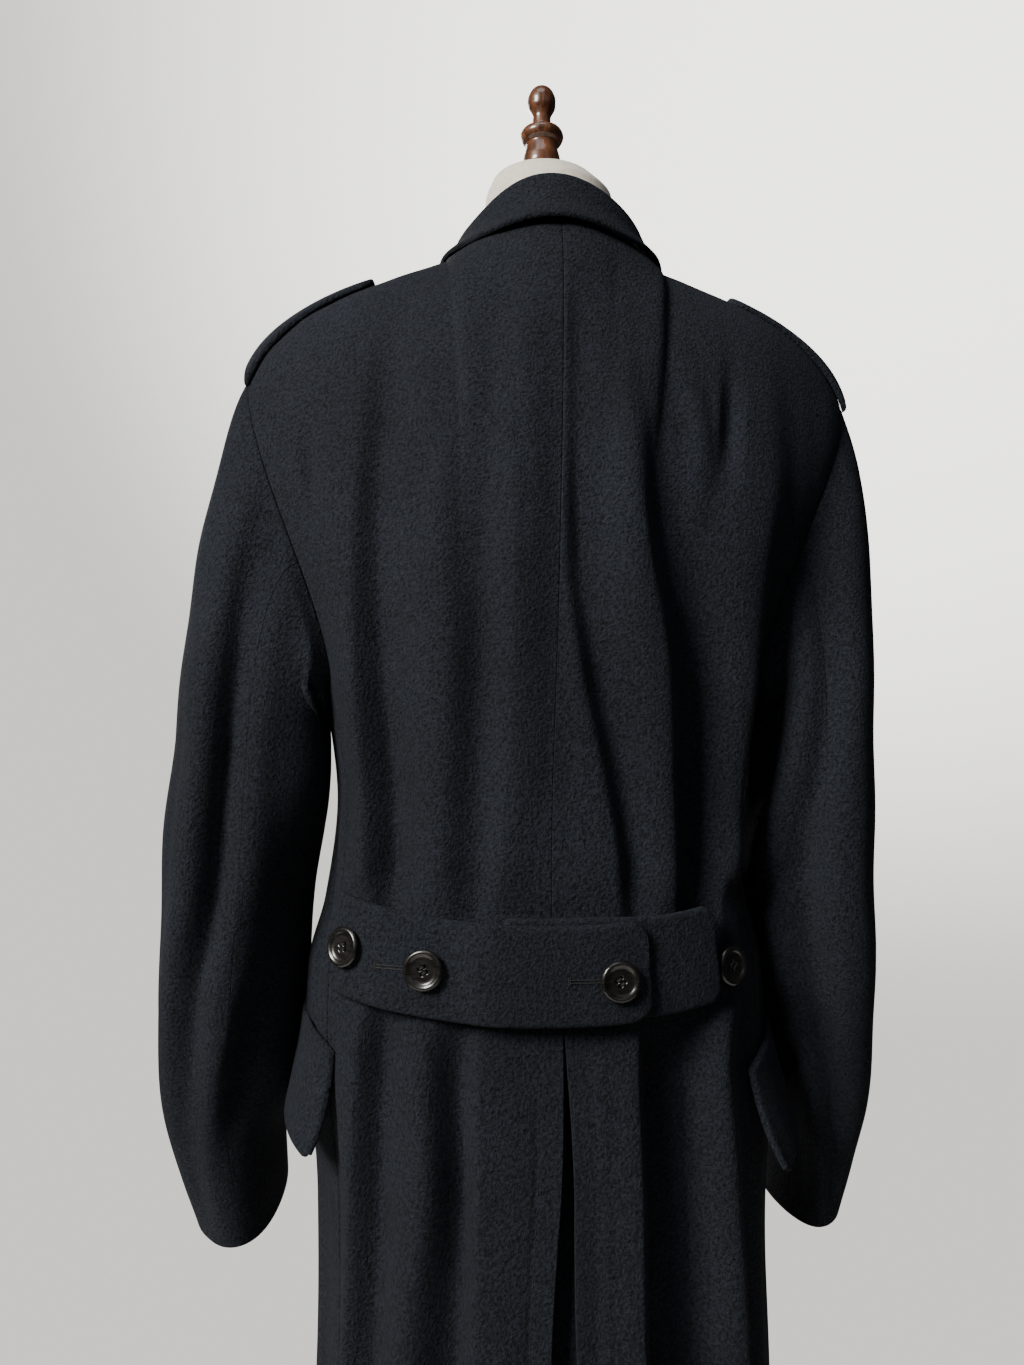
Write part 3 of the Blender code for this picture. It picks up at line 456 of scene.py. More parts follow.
def bodyGrid(shares, steps, levels, form=False, first=0.0):
    # the whole body as rows: yoke rows from the shoulder seam, then rings down to the hem
    high = len(steps)
    s = np.broadcast_to(np.asarray(shares, float), (high + len(levels), len(shares)))
    v = np.maximum(steps, first)[:, None]
    points = np.concatenate([yokeAt(s[:high], v, form), bodyRing(s[high:], levels[:, None])])
    step = 1e-4
    up = s[:high]
    ahead = np.where((up <= 1) & (up + step > 1), up, up + step)
    behind = np.maximum(np.where((up > 1) & (up - step <= 1), up, up - step), 1e-9)
    ds = yokeAt(ahead, v, form) - yokeAt(behind, v, form)
    dv = yokeAt(up, np.minimum(v + step, 1), form) - yokeAt(up, np.maximum(v - step, 0), form)
    upper = unitVec(np.cross(ds, dv))
    low = s[high - 1:]
    z = np.concatenate([[coat["chestZ"]], levels])[:, None]
    ds = bodyRing(low + step, z) - bodyRing(np.maximum(low - step, 1e-9), z)
    dz = bodyRing(low, z - step) - bodyRing(low, z + step)
    normals = np.concatenate([upper[:-1], unitVec(np.cross(ds, dz))])
    normals[..., 0] = np.where((s < 1e-6) | (np.abs(s - 2) < 1e-6), 0, normals[..., 0])
    return points, unitVec(normals)


# Middle line of the belt, and how it presses the folds of the back flat: over what reach, with what ease,
# by what share, and the most height it leaves
beltLine = {"middle": 0.943, "rise": 0.013, "half": 0.13, "reach": 0.034, "ease": 0.026, "share": 0.35,
            "most": 0.0016}


def beltLevel(across):
    # height of the belt's middle line, rising to both sides as a parabola
    return beltLine["middle"] + beltLine["rise"] * (across / beltLine["half"]) ** 2


# Crests and valleys of the back, in order from the centre to the side, as seen in the photograph and carried
# on below it: each row is z, mm from the centre back and mm high; the first list is the height at the centre
backCreases = {
    "centre": [(1.42, 0), (1.354, -2.5), (1.278, -3.5), (1.205, -3), (1.135, -1.5), (1.07, -0.5),
               (0.98, 0), (0.26, 0)],
    "left": [
        [(1.42, 30, 0), (1.354, 30, 2), (1.278, 28, 3), (1.205, 28, 3), (1.135, 26, 3), (1.07, 26, 3),
         (1.01, 30, 3), (0.95, 36, 2), (0.87, 48, 3), (0.81, 50, 4), (0.74, 51, 5), (0.50, 57, 5),
         (0.26, 70, 5)],
        [(1.42, 52, 0), (1.354, 51, -3), (1.278, 54, -5), (1.205, 52, -6), (1.135, 48, -6),
         (1.07, 47, -6), (1.01, 47, -5), (0.95, 52, -5), (0.87, 60, -9), (0.81, 62, -12), (0.74, 66, -13),
         (0.50, 80, -13), (0.26, 96, -13)],
        [(1.42, 110, 0), (1.354, 108, 1), (1.278, 90, 2), (1.205, 79, 3), (1.135, 71, 4), (1.07, 71, 4),
         (1.01, 71, 4), (0.95, 76, 4), (0.87, 82, 6), (0.81, 84, 7), (0.74, 94, 7), (0.50, 110, 8),
         (0.26, 130, 9)],
        [(1.42, 132, 0), (1.354, 131, -2), (1.278, 131, -6), (1.205, 127, -9), (1.135, 122, -12),
         (1.07, 116, -14), (1.01, 109, -14), (0.95, 106, -9), (0.87, 113, -9), (0.80, 122, -10),
         (0.74, 126, -9), (0.50, 140, -10), (0.26, 160, -10)],
        [(1.42, 156, 0), (1.354, 152, 1), (1.278, 149, 3), (1.205, 144, 5), (1.135, 136, 6),
         (1.07, 129, 6), (1.01, 122, 7), (0.95, 122, 4), (0.87, 128, 6), (0.80, 137, 6), (0.74, 140, 6),
         (0.50, 155, 6), (0.26, 175, 6)],
    ],
    "right": [
        [(1.42, 1, 0), (1.278, 1, -3.3), (1.205, 2, -2.5), (1.135, 13, 0), (1.07, 29, 1.5), (1.01, 40, 2),
         (0.96, 42, 1.5), (0.92, 14, 0), (0.26, 12, 0.5)],
        [(1.42, 9, 0), (1.354, 10, -5), (1.278, 11, -8), (1.205, 15, -9), (1.135, 26, -9), (1.07, 43, -8),
         (1.01, 53, -7), (0.96, 55, -5), (0.92, 30, 0), (0.87, 24, 1.5), (0.26, 30, 2)],
        [(1.42, 36, 0), (1.354, 41, 0.5), (1.278, 47, 2), (1.205, 58, 3), (1.135, 70, 4), (1.07, 76, 4),
         (1.01, 79, 4), (0.96, 74, 4), (0.92, 55, 3), (0.87, 50, 4), (0.805, 48, 5), (0.745, 48, 5),
         (0.50, 58, 5), (0.26, 72, 5)],
        [(1.42, 55, 0), (1.354, 56, -1), (1.278, 69, -5), (1.205, 79, -11), (1.135, 94, -14),
         (1.07, 99, -15), (1.01, 99, -15), (0.96, 94, -11), (0.92, 70, -12), (0.87, 63, -15),
         (0.805, 61, -16), (0.745, 61, -16), (0.50, 71, -16), (0.26, 86, -16)],
        [(1.42, 60, 0), (1.354, 62, -1), (1.278, 76, -5), (1.205, 87, -11), (1.135, 101, -14),
         (1.07, 105, -15), (1.01, 104, -15), (0.96, 99, -11), (0.92, 92, -15), (0.87, 92, -18),
         (0.80, 90, -18), (0.735, 93, -18), (0.50, 100, -17), (0.26, 112, -17)],
        [(1.42, 160, 0), (1.354, 163, 2), (1.283, 160, 5), (1.212, 148, 9), (1.141, 142, 12),
         (1.065, 136, 12), (1.00, 133, 12), (0.95, 128, 6), (0.87, 114, 5), (0.795, 115, 6),
         (0.725, 121, 7), (0.50, 126, 7), (0.26, 144, 7)],
        [(1.42, 200, 0), (1.283, 200, 0), (1.212, 176, 0), (1.141, 158, 2), (1.065, 147, 3),
         (1.00, 143, 3), (0.95, 141, 1), (0.87, 133, -3), (0.79, 134, -5), (0.50, 147, -7),
         (0.26, 168, -8)],
    ],
}
# Small folds on top of them, each with a path of (z, mm from the centre back), its half widths in mm towards
# the centre and towards the side, its height in mm at the top, middle and foot, and its sharpness if not 1
backFolds = {
    "left": [
        {"path": [(1.05, 146), (1.02, 142), (0.985, 130)], "wide": (6, 7), "high": (0, -3, -1)},
        {"path": [(1.34, 84), (1.26, 96), (1.18, 96)], "wide": (16, 18), "high": (0, -2, 0)},
        {"path": [(1.32, 196), (1.27, 190), (1.22, 176)], "wide": (12, 12), "high": (0, -4, 0)},
    ],
    "right": [
        {"path": [(1.37, 139), (1.317, 132), (1.24, 119)], "wide": (13, 13), "high": (-1, -6, 0)},
        {"path": [(1.38, 92), (1.30, 104), (1.21, 98)], "wide": (16, 14), "high": (0, 4, 0)},
        {"path": [(1.12, 162), (1.04, 146), (0.97, 140)], "wide": (7, 7), "high": (0, -3, 0)},
    ],
}


def creaseHeight(lines, run, z, centre):
    # height between neighbouring lines, eased by a half cosine from each line to the next
    rows = [(np.zeros_like(run), alongTable(centre, z))]
    rows += [(alongTable(line, z), alongTable(line, z, 2)) for line in lines]
    rows.append((1000 * run[:, -1:] + np.zeros_like(run), np.zeros_like(run)))
    total = np.zeros_like(run)
    for (at, high), (nextAt, nextHigh) in zip(rows, rows[1:]):
        share = np.clip((1000 * run - at) / np.maximum(nextAt - at, 0.5), 0, 1)
        here = high + (nextHigh - high) * (0.5 - 0.5 * np.cos(math.pi * share))
        total = np.where(1000 * run >= at, here, total)
    return total / 1000


def foldHeight(folds, run, z):
    # sum of the folds at every point: a raised cosine across each, its height eased along its path
    total = np.zeros_like(run)
    for fold in folds:
        path = np.array(fold["path"], float)
        top, foot = path[:, 0].max(), path[:, 0].min()
        away = run - alongTable(path, z) / 1000
        half = np.where(away < 0, fold["wide"][0], fold["wide"][1]) / 1000
        bump = (0.5 + 0.5 * np.cos(math.pi * np.clip(np.abs(away) / half, 0, 1))) ** fold.get("sharp", 1)
        down = (top - z) / (top - foot)
        a, b, c = fold["high"]
        upper = a + (b - a) * smoothStep(2 * down)
        lower = b + (c - b) * smoothStep(2 * down - 1)
        high = np.where(down < 0.5, upper, lower)
        fade = smoothStep((top + 0.025 - z) / 0.05) * smoothStep((z - foot + 0.025) / 0.05 + (foot < 0.27))
        total += high / 1000 * bump * fade
    return total


def wander(x, z, scale, height, seed):
    # slow unevenness: three sine products with turned axes, so that no two stretches match
    total = np.zeros_like(x)
    for k in range(3):
        turn = seed + 2.1 * k
        a = x * math.cos(turn) + z * math.sin(turn)
        b = z * math.cos(turn) - x * math.sin(turn)
        total += np.sin(a * 6.28 / scale + turn * 3) * np.sin(b * 6.28 / (scale * (1.3 + 0.4 * k)) + turn)
    return height / 2 * total


bodyPanels = {
    "backShares": edgePacked(np.linspace(0, 0.999, 104), 0.008),
    "frontShares": edgePacked(
        np.concatenate([np.linspace(1.0006, 1.94, 84), np.linspace(1.95, 2.13, 20)]), 0.008),
    "yokeSteps": np.concatenate([[0, 0.002, 0.005, 0.01], np.linspace(0.02, 1.0, 50)]),
    "levels": np.concatenate([np.arange(1.124, 0.2665, -0.006), [0.2627, 0.2613, 0.2605, 0.26]]),
    "slitWide": 0.014,
    "slitLean": -0.0072,
    "slitTop": 0.915,
    "lapFrom": 0.070,
    "lapEase": 0.035,
}
# Topstitching of the slit: distance from its edge, top, length of a stitch and of a gap, radius of the thread
slitStitch = {"in": 0.016, "top": 0.868, "long": 0.0042, "gap": 0.0012, "radius": 0.00028}


def backSurface(side, seed):
    # the body from the centre back to the side seam, moved along its normals by the creases and small folds
    shares, steps, levels = bodyPanels["backShares"], bodyPanels["yokeSteps"], bodyPanels["levels"]
    points, base = bodyGrid(shares, steps, levels, first=coat["shoulderGap"])
    flat = points.copy()
    run = runLength(points, 1)
    z = points[..., 2]
    edge = run[:, -1:] - run
    belt = 1 - smoothStep((np.abs(z - beltLevel(run)) - beltLine["reach"]) / beltLine["ease"])
    small = foldHeight(backFolds[side], run, z)
    small = small + wander(run, z, 0.16, 0.0012, seed) + wander(run, z, 0.045, 0.0003, seed + 1)
    fade = smoothStep(run / 0.012 + (z < 0.90)) * smoothStep(edge / 0.014)
    out = creaseHeight(backCreases[side], run, z, backCreases["centre"]) + small * fade
    out = np.minimum(out * (1 - beltLine["share"] * belt), beltLine["most"] + 0.04 * (1 - belt))
    points = points + base * out[..., None]
    # the slit parts below the belt, and its upper end hangs to the right of the seam
    slit = bodyPanels["slitWide"] * smoothStep((bodyPanels["slitTop"] - z) / 0.5) ** 0.6
    lean = bodyPanels["slitLean"] * smoothStep((0.975 - z) / 0.07) * (1 - smoothStep((0.90 - z) / 0.19))
    lean = lean if side == "left" else -lean
    points[..., 0] += np.where(z > bodyPanels["slitTop"], 0.00003, coat["seam"] / 2)
    points[..., 0] += slit * (1 - smoothStep(run / 0.050)) + lean * (1 - smoothStep(run / 0.060))
    points += base * (0.0022 * np.exp(-(run / 0.010) ** 2) * smoothStep((0.90 - z) / 0.2))[..., None]
    if side == "left":
        pressed = 0.0008 * np.exp(-((run - slitStitch["in"]) / 0.0022) ** 2) * (z < slitStitch["top"])
        points -= base * pressed[..., None]
    normals = facing(gridNormals(points), base)
    normals[0], normals[:, -1], normals[:, 0] = base[0], base[:, -1], base[:, 0]
    return points, normals, flat


def makeBacks():
    for side, seed, mirror in (("left", 0.4, False), ("right", 2.7, True)):
        points, normals, flat = backSurface(side, seed)
        edges = {"left": 0.0005, "right": 0.0012, "top": 0.0015, "bottom": 0.0018}
        piece = clothShell(f"backPanel_{side}", f"back_{side}", points, normals, edges=edges, mirror=mirror)
        declareCloth(piece, flat)
        print("back", side, "made")


# Folds of the fronts, which the photograph doesn't show: soft, long, and fewer than behind
frontFolds = {
    "left": [
        {"path": [(1.12, 62), (1.02, 52), (0.90, 48), (0.70, 44), (0.26, 50)], "wide": (24, 26),
         "high": (0, 5, 9)},
        {"path": [(1.10, 112), (0.98, 108), (0.80, 104), (0.26, 118)], "wide": (22, 24),
         "high": (0, -7, -12)},
        {"path": [(1.05, 158), (0.80, 160), (0.26, 190)], "wide": (22, 22), "high": (0, 3, 8)},
        {"path": [(1.05, 24), (0.96, 20), (0.86, 22)], "wide": (10, 10), "high": (0, -4, 0)},
    ],
    "right": [
        {"path": [(1.14, 74), (1.02, 60), (0.90, 54), (0.26, 62)], "wide": (24, 24), "high": (0, 6, 8)},
        {"path": [(1.08, 120), (0.96, 110), (0.80, 112), (0.26, 132)], "wide": (24, 24),
         "high": (0, -6, -13)},
        {"path": [(1.00, 166), (0.80, 166), (0.26, 196)], "wide": (20, 22), "high": (0, 4, 7)},
        {"path": [(1.04, 28), (0.98, 22), (0.84, 26)], "wide": (10, 12), "high": (0, -4, 0)},
    ],
}


def frontSurface(side, over, seed):
    # the body from the side seam past the centre front, with its folds; the left one is lifted where it laps
    shares, steps, levels = bodyPanels["frontShares"], bodyPanels["yokeSteps"], bodyPanels["levels"]
    points, base = bodyGrid(shares, steps, levels, first=coat["shoulderGap"])
    flat = points.copy()
    if over:
        lap = smoothStep((bodyPanels["lapFrom"] - points[..., 0]) / bodyPanels["lapEase"])
        lap[:, shares < 1.5] = 0
        points = points + base * (lap * coat["lap"])[..., None]
    run = runLength(points, 1)
    z = points[..., 2]
    toFront = np.abs(points[..., 0])
    out = foldHeight(frontFolds[side], run, z) + wander(run, z, 0.17, 0.0012, seed)
    out = out * smoothStep(run / 0.02) * smoothStep((toFront - 0.055) / 0.05)
    points = points + base * out[..., None]
    normals = facing(gridNormals(points), base)
    normals[0], normals[:, 0] = base[0], base[:, 0]
    return points, normals, flat


def makeFronts():
    for side, over, seed, mirror in (("left", True, 1.1, False), ("right", False, 3.9, True)):
        points, normals, flat = frontSurface(side, over, seed)
        piece = clothShell(f"frontPanel_{side}", f"front_{side}", points, normals, mirror=mirror)
        declareCloth(piece, flat)
        print("front", side, "made")


pleatSizes = {"half": 0.041, "sunk": 0.0085, "top": 0.908}


def makePleat():
    # a strip behind the slit, sunk in the middle and raised at its sides to meet the inside of the back
    z = np.concatenate([[pleatSizes["top"]], np.arange(0.90, 0.262, -0.008), [0.26]])
    across = np.linspace(-pleatSizes["half"], pleatSizes["half"], 41)
    points = bodyRing(np.abs(across)[None, :] / 0.15, z[:, None])
    points[..., 0] = across[None, :]
    sunk = pleatSizes["sunk"] * (1 - smoothStep((np.abs(across) - 0.020) / 0.020)) + coat["cloth"] + 0.0005
    points[..., 1] -= sunk[None, :]
    normals = facing(gridNormals(points), np.array([0.0, 1.0, 0.0]))
    piece = clothShell("pleatUnderlay", "back_pleat", points, normals, edges=())
    declareCloth(piece, points)


makeBacks()
makeFronts()
makePleat()


# Sleeves: left and right arm, rows from the armpit down
sleeveLevels = {
    # z, centre x, centre y, half width, half depth, forward tilt
    "left": np.array([
        (1.090, 0.212, -0.002, 0.048, 0.074, 0), (1.000, 0.215, 0.000, 0.049, 0.071, 3),
        (0.930, 0.221, -0.008, 0.046, 0.067, 9), (0.840, 0.230, -0.034, 0.042, 0.062, 16),
        (0.750, 0.222, -0.062, 0.032, 0.059, 18)]),
    "right": np.array([
        (1.090, 0.204, -0.002, 0.042, 0.074, 0), (1.000, 0.203, 0.000, 0.044, 0.071, 3),
        (0.930, 0.209, -0.008, 0.040, 0.068, 9), (0.840, 0.214, -0.036, 0.034, 0.062, 16),
        (0.750, 0.206, -0.064, 0.030, 0.059, 18)]),
}
# Sleeve folds: path of (z, degrees round the arm; 0 outside, 90 front, 180 inside, 270 behind),
# half widths in degrees below and above the path, and heights in mm at its top, middle and foot
sleeveFolds = {
    "left": [
        {"path": [(1.28, 252), (1.21, 244), (1.135, 237), (1.07, 236), (1.01, 236), (0.93, 242)],
         "wide": (44, 28), "high": (0, 8, 2)},
        {"path": [(1.29, 284), (1.21, 274), (1.135, 269), (1.07, 270), (1.01, 272), (0.90, 288), (0.75, 298)],
         "wide": (24, 14), "high": (-2, -13, -3), "sharp": 0.9},
        {"path": [(1.28, 302), (1.135, 290), (1.01, 293), (0.90, 310), (0.75, 320)], "wide": (14, 28),
         "high": (1, 7, 2)},
        {"path": [(0.99, 192), (0.945, 213), (0.905, 226), (0.87, 237), (0.81, 250)], "wide": (12, 17),
         "high": (0, -7, -1)},
        {"path": [(0.965, 238), (0.915, 252), (0.86, 262), (0.80, 272)], "wide": (15, 15),
         "high": (0, 4, 1)},
        {"path": [(1.00, 88), (0.93, 104), (0.88, 140)], "wide": (14, 16), "high": (0, -5, 0)},
        {"path": [(1.17, 20), (1.04, 12), (0.90, 24)], "wide": (22, 22), "high": (0, -3, 0)},
        {"path": [(1.10, 50), (0.95, 62), (0.80, 58)], "wide": (18, 18), "high": (0, 3, 0)},
        {"path": [(1.17, 190), (1.10, 188), (1.00, 184), (0.90, 186), (0.83, 188)], "wide": (48, 48),
         "high": (4, 7, 19), "sharp": 0.8},
        {"path": [(1.16, 205), (1.07, 206), (0.985, 200)], "wide": (42, 34),
         "high": (7, 16, 2), "sharp": 0.8},
    ],
    "right": [
        {"path": [(1.28, 266), (1.215, 241), (1.14, 236), (1.07, 228), (1.00, 213), (0.94, 216), (0.85, 234),
                  (0.75, 262)], "wide": (24, 14), "high": (1, 8, 5), "sharp": 0.9},
        {"path": [(1.28, 290), (1.215, 262), (1.14, 256), (1.07, 247), (1.01, 234), (0.94, 235), (0.85, 250),
                  (0.75, 280)], "wide": (14, 34), "high": (-2, -11, -5)},
        {"path": [(1.26, 310), (1.14, 298), (1.01, 290), (0.85, 300), (0.75, 306)], "wide": (30, 26),
         "high": (0, 3, 2)},
        {"path": [(1.03, 250), (1.00, 226), (0.965, 196), (0.95, 172)], "wide": (14, 14),
         "high": (0, -5, 0)},
        {"path": [(0.90, 240), (0.86, 216), (0.83, 186)], "wide": (14, 16), "high": (0, -4, 0)},
        {"path": [(1.00, 92), (0.94, 110), (0.89, 146)], "wide": (14, 16), "high": (0, -5, 0)},
        {"path": [(1.15, 30), (1.00, 20), (0.88, 32)], "wide": (22, 22), "high": (0, -3, 0)},
        {"path": [(1.17, 190), (1.10, 188), (1.00, 184), (0.90, 184), (0.83, 184)], "wide": (48, 48),
         "high": (4, 9, 9), "sharp": 0.8},
    ],
}
sleeveSizes = {"headRows": 46, "rowStep": 0.0055, "frontSeam": 130, "rearSeam": 255, "perYoke": 38}


def armholeLoop():
    # points round the left armhole from the shoulder tip forwards, then up behind
    steps = np.linspace(0, 1, sleeveSizes["perYoke"])
    levels = np.array([1.10])
    back = bodyGrid(np.array([0.999]), steps, levels, first=coat["shoulderGap"])[0]
    front = bodyGrid(np.array([1.0006]), steps, levels, first=coat["shoulderGap"])[0]
    high = len(steps)
    points = np.concatenate([front[:high, 0], back[high - 2:0:-1, 0]])
    points[0] = 0.5 * (front[0, 0] + back[0, 0])
    points[high - 1] = 0.5 * (front[high - 1, 0] + back[high - 1, 0])
    return points


def sleeveRing(table, z, angle):
    # a tilted ellipse round the arm at height z
    x, y, wide, deep, tilt = (alongTable(table, z, k) for k in range(1, 6))
    tilt = np.radians(tilt)
    rise = deep * np.sin(angle)
    return np.stack([x + wide * np.cos(angle), y - rise * np.cos(tilt), z + rise * np.sin(tilt)], -1)


def sleeveSurface(side, seed):
    # head: cubics from the armhole to the top ring of the arm; below it, rings down to the cuff
    table = sleeveLevels[side]
    loop = armholeLoop()
    gaps = np.linalg.norm(np.diff(np.concatenate([loop, loop[:1]]), axis=0), axis=1)
    angle = 2 * math.pi * np.concatenate([[0], np.cumsum(gaps)[:-1]]) / gaps.sum()
    low = 0.5 - 0.5 * np.cos(angle)
    start = np.stack([np.ones_like(low), -0.25 * np.sin(angle), -2.2 * (1 - low) ** 2.5], -1)
    closed = np.concatenate([loop[-1:], loop, loop[:1]])
    way = unitVec(closed[2:] - closed[:-2])
    start = unitVec(start - 0.35 * (start * way).sum(axis=1, keepdims=True) * way)
    begin = loop - start * 0.0006
    armpit = smoothStep((low - 0.7) / 0.25)
    begin[:, 2] += 0.0010 * armpit
    end = sleeveRing(table, np.full_like(angle, 1.090), angle)
    reach = np.linalg.norm(end - begin, axis=1)[:, None]
    v = np.concatenate([[0, 0.004, 0.009, 0.016], np.linspace(0.03, 1.0, sleeveSizes["headRows"])])[:, None]
    push = reach * (0.6 + 0.3 * armpit[:, None])
    head = hermiteCurve(begin[None], (start * push)[None], end[None],
                        (np.array([0.0, 0.0, -0.8]) * reach)[None], v)
    levels = np.concatenate([
        np.arange(1.085, 0.756, -sleeveSizes["rowStep"]), [0.7525, 0.7513, 0.7505, 0.75]])
    points = np.concatenate([head, sleeveRing(table, levels[:, None], angle[None, :])])
    flat = points.copy()

    def aroundNormals(grid):
        wrapped = np.concatenate([grid[:, -1:], grid, grid[:, :1]], axis=1)
        return facing(gridNormals(wrapped)[:, 1:-1], grid - grid.mean(axis=1, keepdims=True))

    normals = aroundNormals(points)
    z = points[..., 2]
    degrees = np.degrees(angle)[None, :] + 0 * z
    out = foldHeight(sleeveFolds[side], degrees / 1000, z)
    # puckers where the sleeve head is eased into the armhole, fading over the first 30 mm
    down = runLength(points, 0)
    turn = np.radians(degrees)
    pucker = 0.0011 * np.sin(turn * 21 + seed) * (0.6 + 0.4 * np.sin(turn * 8 + 1))
    nearHead = smoothStep(down / 0.006) * np.exp(-(down / 0.022) ** 2)
    out += pucker * nearHead * smoothStep((np.cos(angle) + 0.4) / 0.5)
    out += wander(degrees * 0.0012, z, 0.12, 0.0013, seed)
    out *= smoothStep(down / 0.012)
    points = points + normals * out[..., None]
    normals = aroundNormals(points)
    return points, normals, flat, np.degrees(angle)


def makeSleeves():
    for side, seed, mirror in (("left", 0.9, False), ("right", 4.2, True)):
        points, normals, flat, degrees = sleeveSurface(side, seed)
        front = int(np.argmin(np.abs(degrees - sleeveSizes["frontSeam"])))
        rear = int(np.argmin(np.abs(degrees - sleeveSizes["rearSeam"])))
        pieces = {
            "Top": list(range(rear, len(degrees))) + list(range(0, front + 1)),
            "Under": list(range(front, rear + 1)),
        }
        for name, picked in pieces.items():
            grid, way = points[:, picked].copy(), normals[:, picked]
            for edge, beside in ((0, 1), (-1, -2)):
                grid[:, edge] -= unitVec(grid[:, beside] - grid[:, edge]) * 0.0002
            dense, denseWay = addSeamColumns(grid), addSeamColumns(way)
            edges = {"left": 0.0007, "right": 0.0007, "top": 0.0018, "bottom": 0.0018}
            node = f"sleeve_{side}_{name.lower()}"
            piece = clothShell(f"sleeve{name}_{side}", node, dense, unitVec(denseWay), edges=edges,
                               mirror=mirror)
            declareCloth(piece, flat[:, picked])
        print("sleeve", side, "made")


def addSeamColumns(grid):
    # three more columns beside each long edge, so that the seam can roll inwards
    parts = []
    for share in (0, 0.08, 0.18, 0.36):
        parts.append(grid[:, 0] * (1 - share) + grid[:, 1] * share)
    parts += [grid[:, k] for k in range(1, grid.shape[1] - 1)]
    for share in (0.36, 0.18, 0.08, 0):
        parts.append(grid[:, -1] * (1 - share) + grid[:, -2] * share)
    return np.stack(parts, 1)


makeSleeves()


# Collar, straps, belt and flaps
collarSizes = {"fold": 0.069, "edge": 0.088, "roll": 0.0055, "halfTurn": 172, "columns": 129}


def makeCollar():
    # profile at each turn: up the stand, over a half circle of the roll radius, then straight down the fall
    turn = np.radians(np.linspace(-collarSizes["halfTurn"], collarSizes["halfTurn"], collarSizes["columns"]))
    cos, sin = np.cos(turn), np.sin(turn)
    back = cos > 0
    seam = np.stack([coat["neckHalf"] * sin, 0.008 + np.where(back, 0.054, 0.085) * cos,
                     coat["neckPointZ"] + np.where(back, 0.019 * cos ** 4, 0.048 * cos)], -1)
    centre, up = np.array([0.0, -0.012, 0.0]), np.array([0.0, 0.0, 1.0])
    way = (seam - centre) * [1, 1, 0]
    way = unitVec(way)
    foldZ = 1.465 + np.where(back, 0.0265, -0.040) * cos ** 2 - collarSizes["roll"]
    fold = centre + way * collarSizes["fold"] + up * foldZ[:, None]
    behind = 1.446 + 0.0068 * cos ** 8
    before = 1.4095 + 0.0395 * cos + 0.0415 * sin ** 2 - 0.013 * cos * np.abs(sin) - 0.005 * sin ** 12
    edgeZ = np.where(back, behind, before)
    edge = centre + way * collarSizes["edge"] + up * edgeZ[:, None]
    raised = coat["lap"] * smoothStep((0.085 - np.abs(seam[:, :1])) / 0.035) * (cos[:, None] < 0)
    foot = seam - way * coat["cloth"] + up * 0.0020 + raised * (0.86 * way + 0.5 * up)
    rows = [foot + (fold - way * collarSizes["roll"] - foot) * t for t in np.linspace(0, 0.9, 8)]
    for degrees in np.linspace(180, 0, 17):
        a = math.radians(degrees)
        rows.append(fold + way * collarSizes["roll"] * math.cos(a) + up * collarSizes["roll"] * math.sin(a))
    start = rows[-1]
    for t in (0.12, 0.25, 0.4, 0.55, 0.7, 0.82, 0.92, 0.96, 0.985, 1.0):
        hollow = 0.0022 * math.sin(math.pi * t) ** 2
        rows.append(start + (edge - start) * t - way * hollow)
    points = np.stack(rows)
    normals = gridNormals(points)
    if (normals[16] * up).sum() < 0:
        normals = -normals
    run = runLength(points, 0)
    ripple = 0.0009 * np.sin(turn * 5 + 0.8) * smoothStep(run / 0.03)
    points = points + normals * ripple[..., None]
    normals[0] = -way
    piece = clothShell("collarFold", "collar", points, normals, radius=0.0026)
    declareCloth(piece, points)
    print("collar made")


def shoulderPoint(share, width):
    # a point on the shoulder at a distance behind (positive) or before the seam, with its normal
    pull = np.linalg.norm(yokeAt(share, 1e-4) - yokeAt(share, 0.0), axis=-1) / 1e-4
    v = np.abs(width) / pull
    s = np.where(width >= 0, share, 2 - share)
    points = yokeAt(s, v)
    ds = yokeAt(s - 1e-4 * np.sign(s - 1), v) - points
    dv = yokeAt(s, v + 1e-4) - points
    normal = unitVec(np.cross(ds, dv))
    return points, np.where(normal[..., 2:] < 0, -normal, normal)


strapSizes = {
    "thick": 0.004,
    "above": 0.0008,
    # share along the shoulder, half width
    "outline": np.array([
        (0.560, 0.010), (0.572, 0.0185), (0.600, 0.0225), (0.68, 0.0235), (0.75, 0.0245), (0.83, 0.0255),
        (0.91, 0.0265), (0.985, 0.027)]),
}


def makeStraps():
    # rows along the shoulder, columns across the strap; the end by the collar is rounded by its half widths
    share = np.concatenate([[0.985, 0.984, 0.982, 0.979], np.linspace(0.972, 0.605, 40),
                            np.linspace(0.598, 0.566, 12), [0.5635, 0.562, 0.5608, 0.560]])
    half = alongTable(strapSizes["outline"], share)
    across = np.concatenate([
        [-1, -0.975, -0.945, -0.91], np.linspace(-0.85, 0.85, 25), [0.91, 0.945, 0.975, 1]])
    for side, mirror in (("left", False), ("right", True)):
        points, normals = shoulderPoint(share[:, None] + 0 * across, half[:, None] * across[None, :])
        dome = 0.0006 * np.cos(across * math.pi / 2)[None, :]
        dome = dome + wander(points[..., 0], points[..., 1], 0.07, 0.0003, 1)
        top = points + normals * (strapSizes["above"] + strapSizes["thick"] + dome)[..., None]
        piece = clothShell(f"shoulderStrap_{side}", f"strap_{side}", top, normals, thick=strapSizes["thick"],
                           mirror=mirror, radius=0.0026)
        declareCloth(piece, points)
    print("straps made")


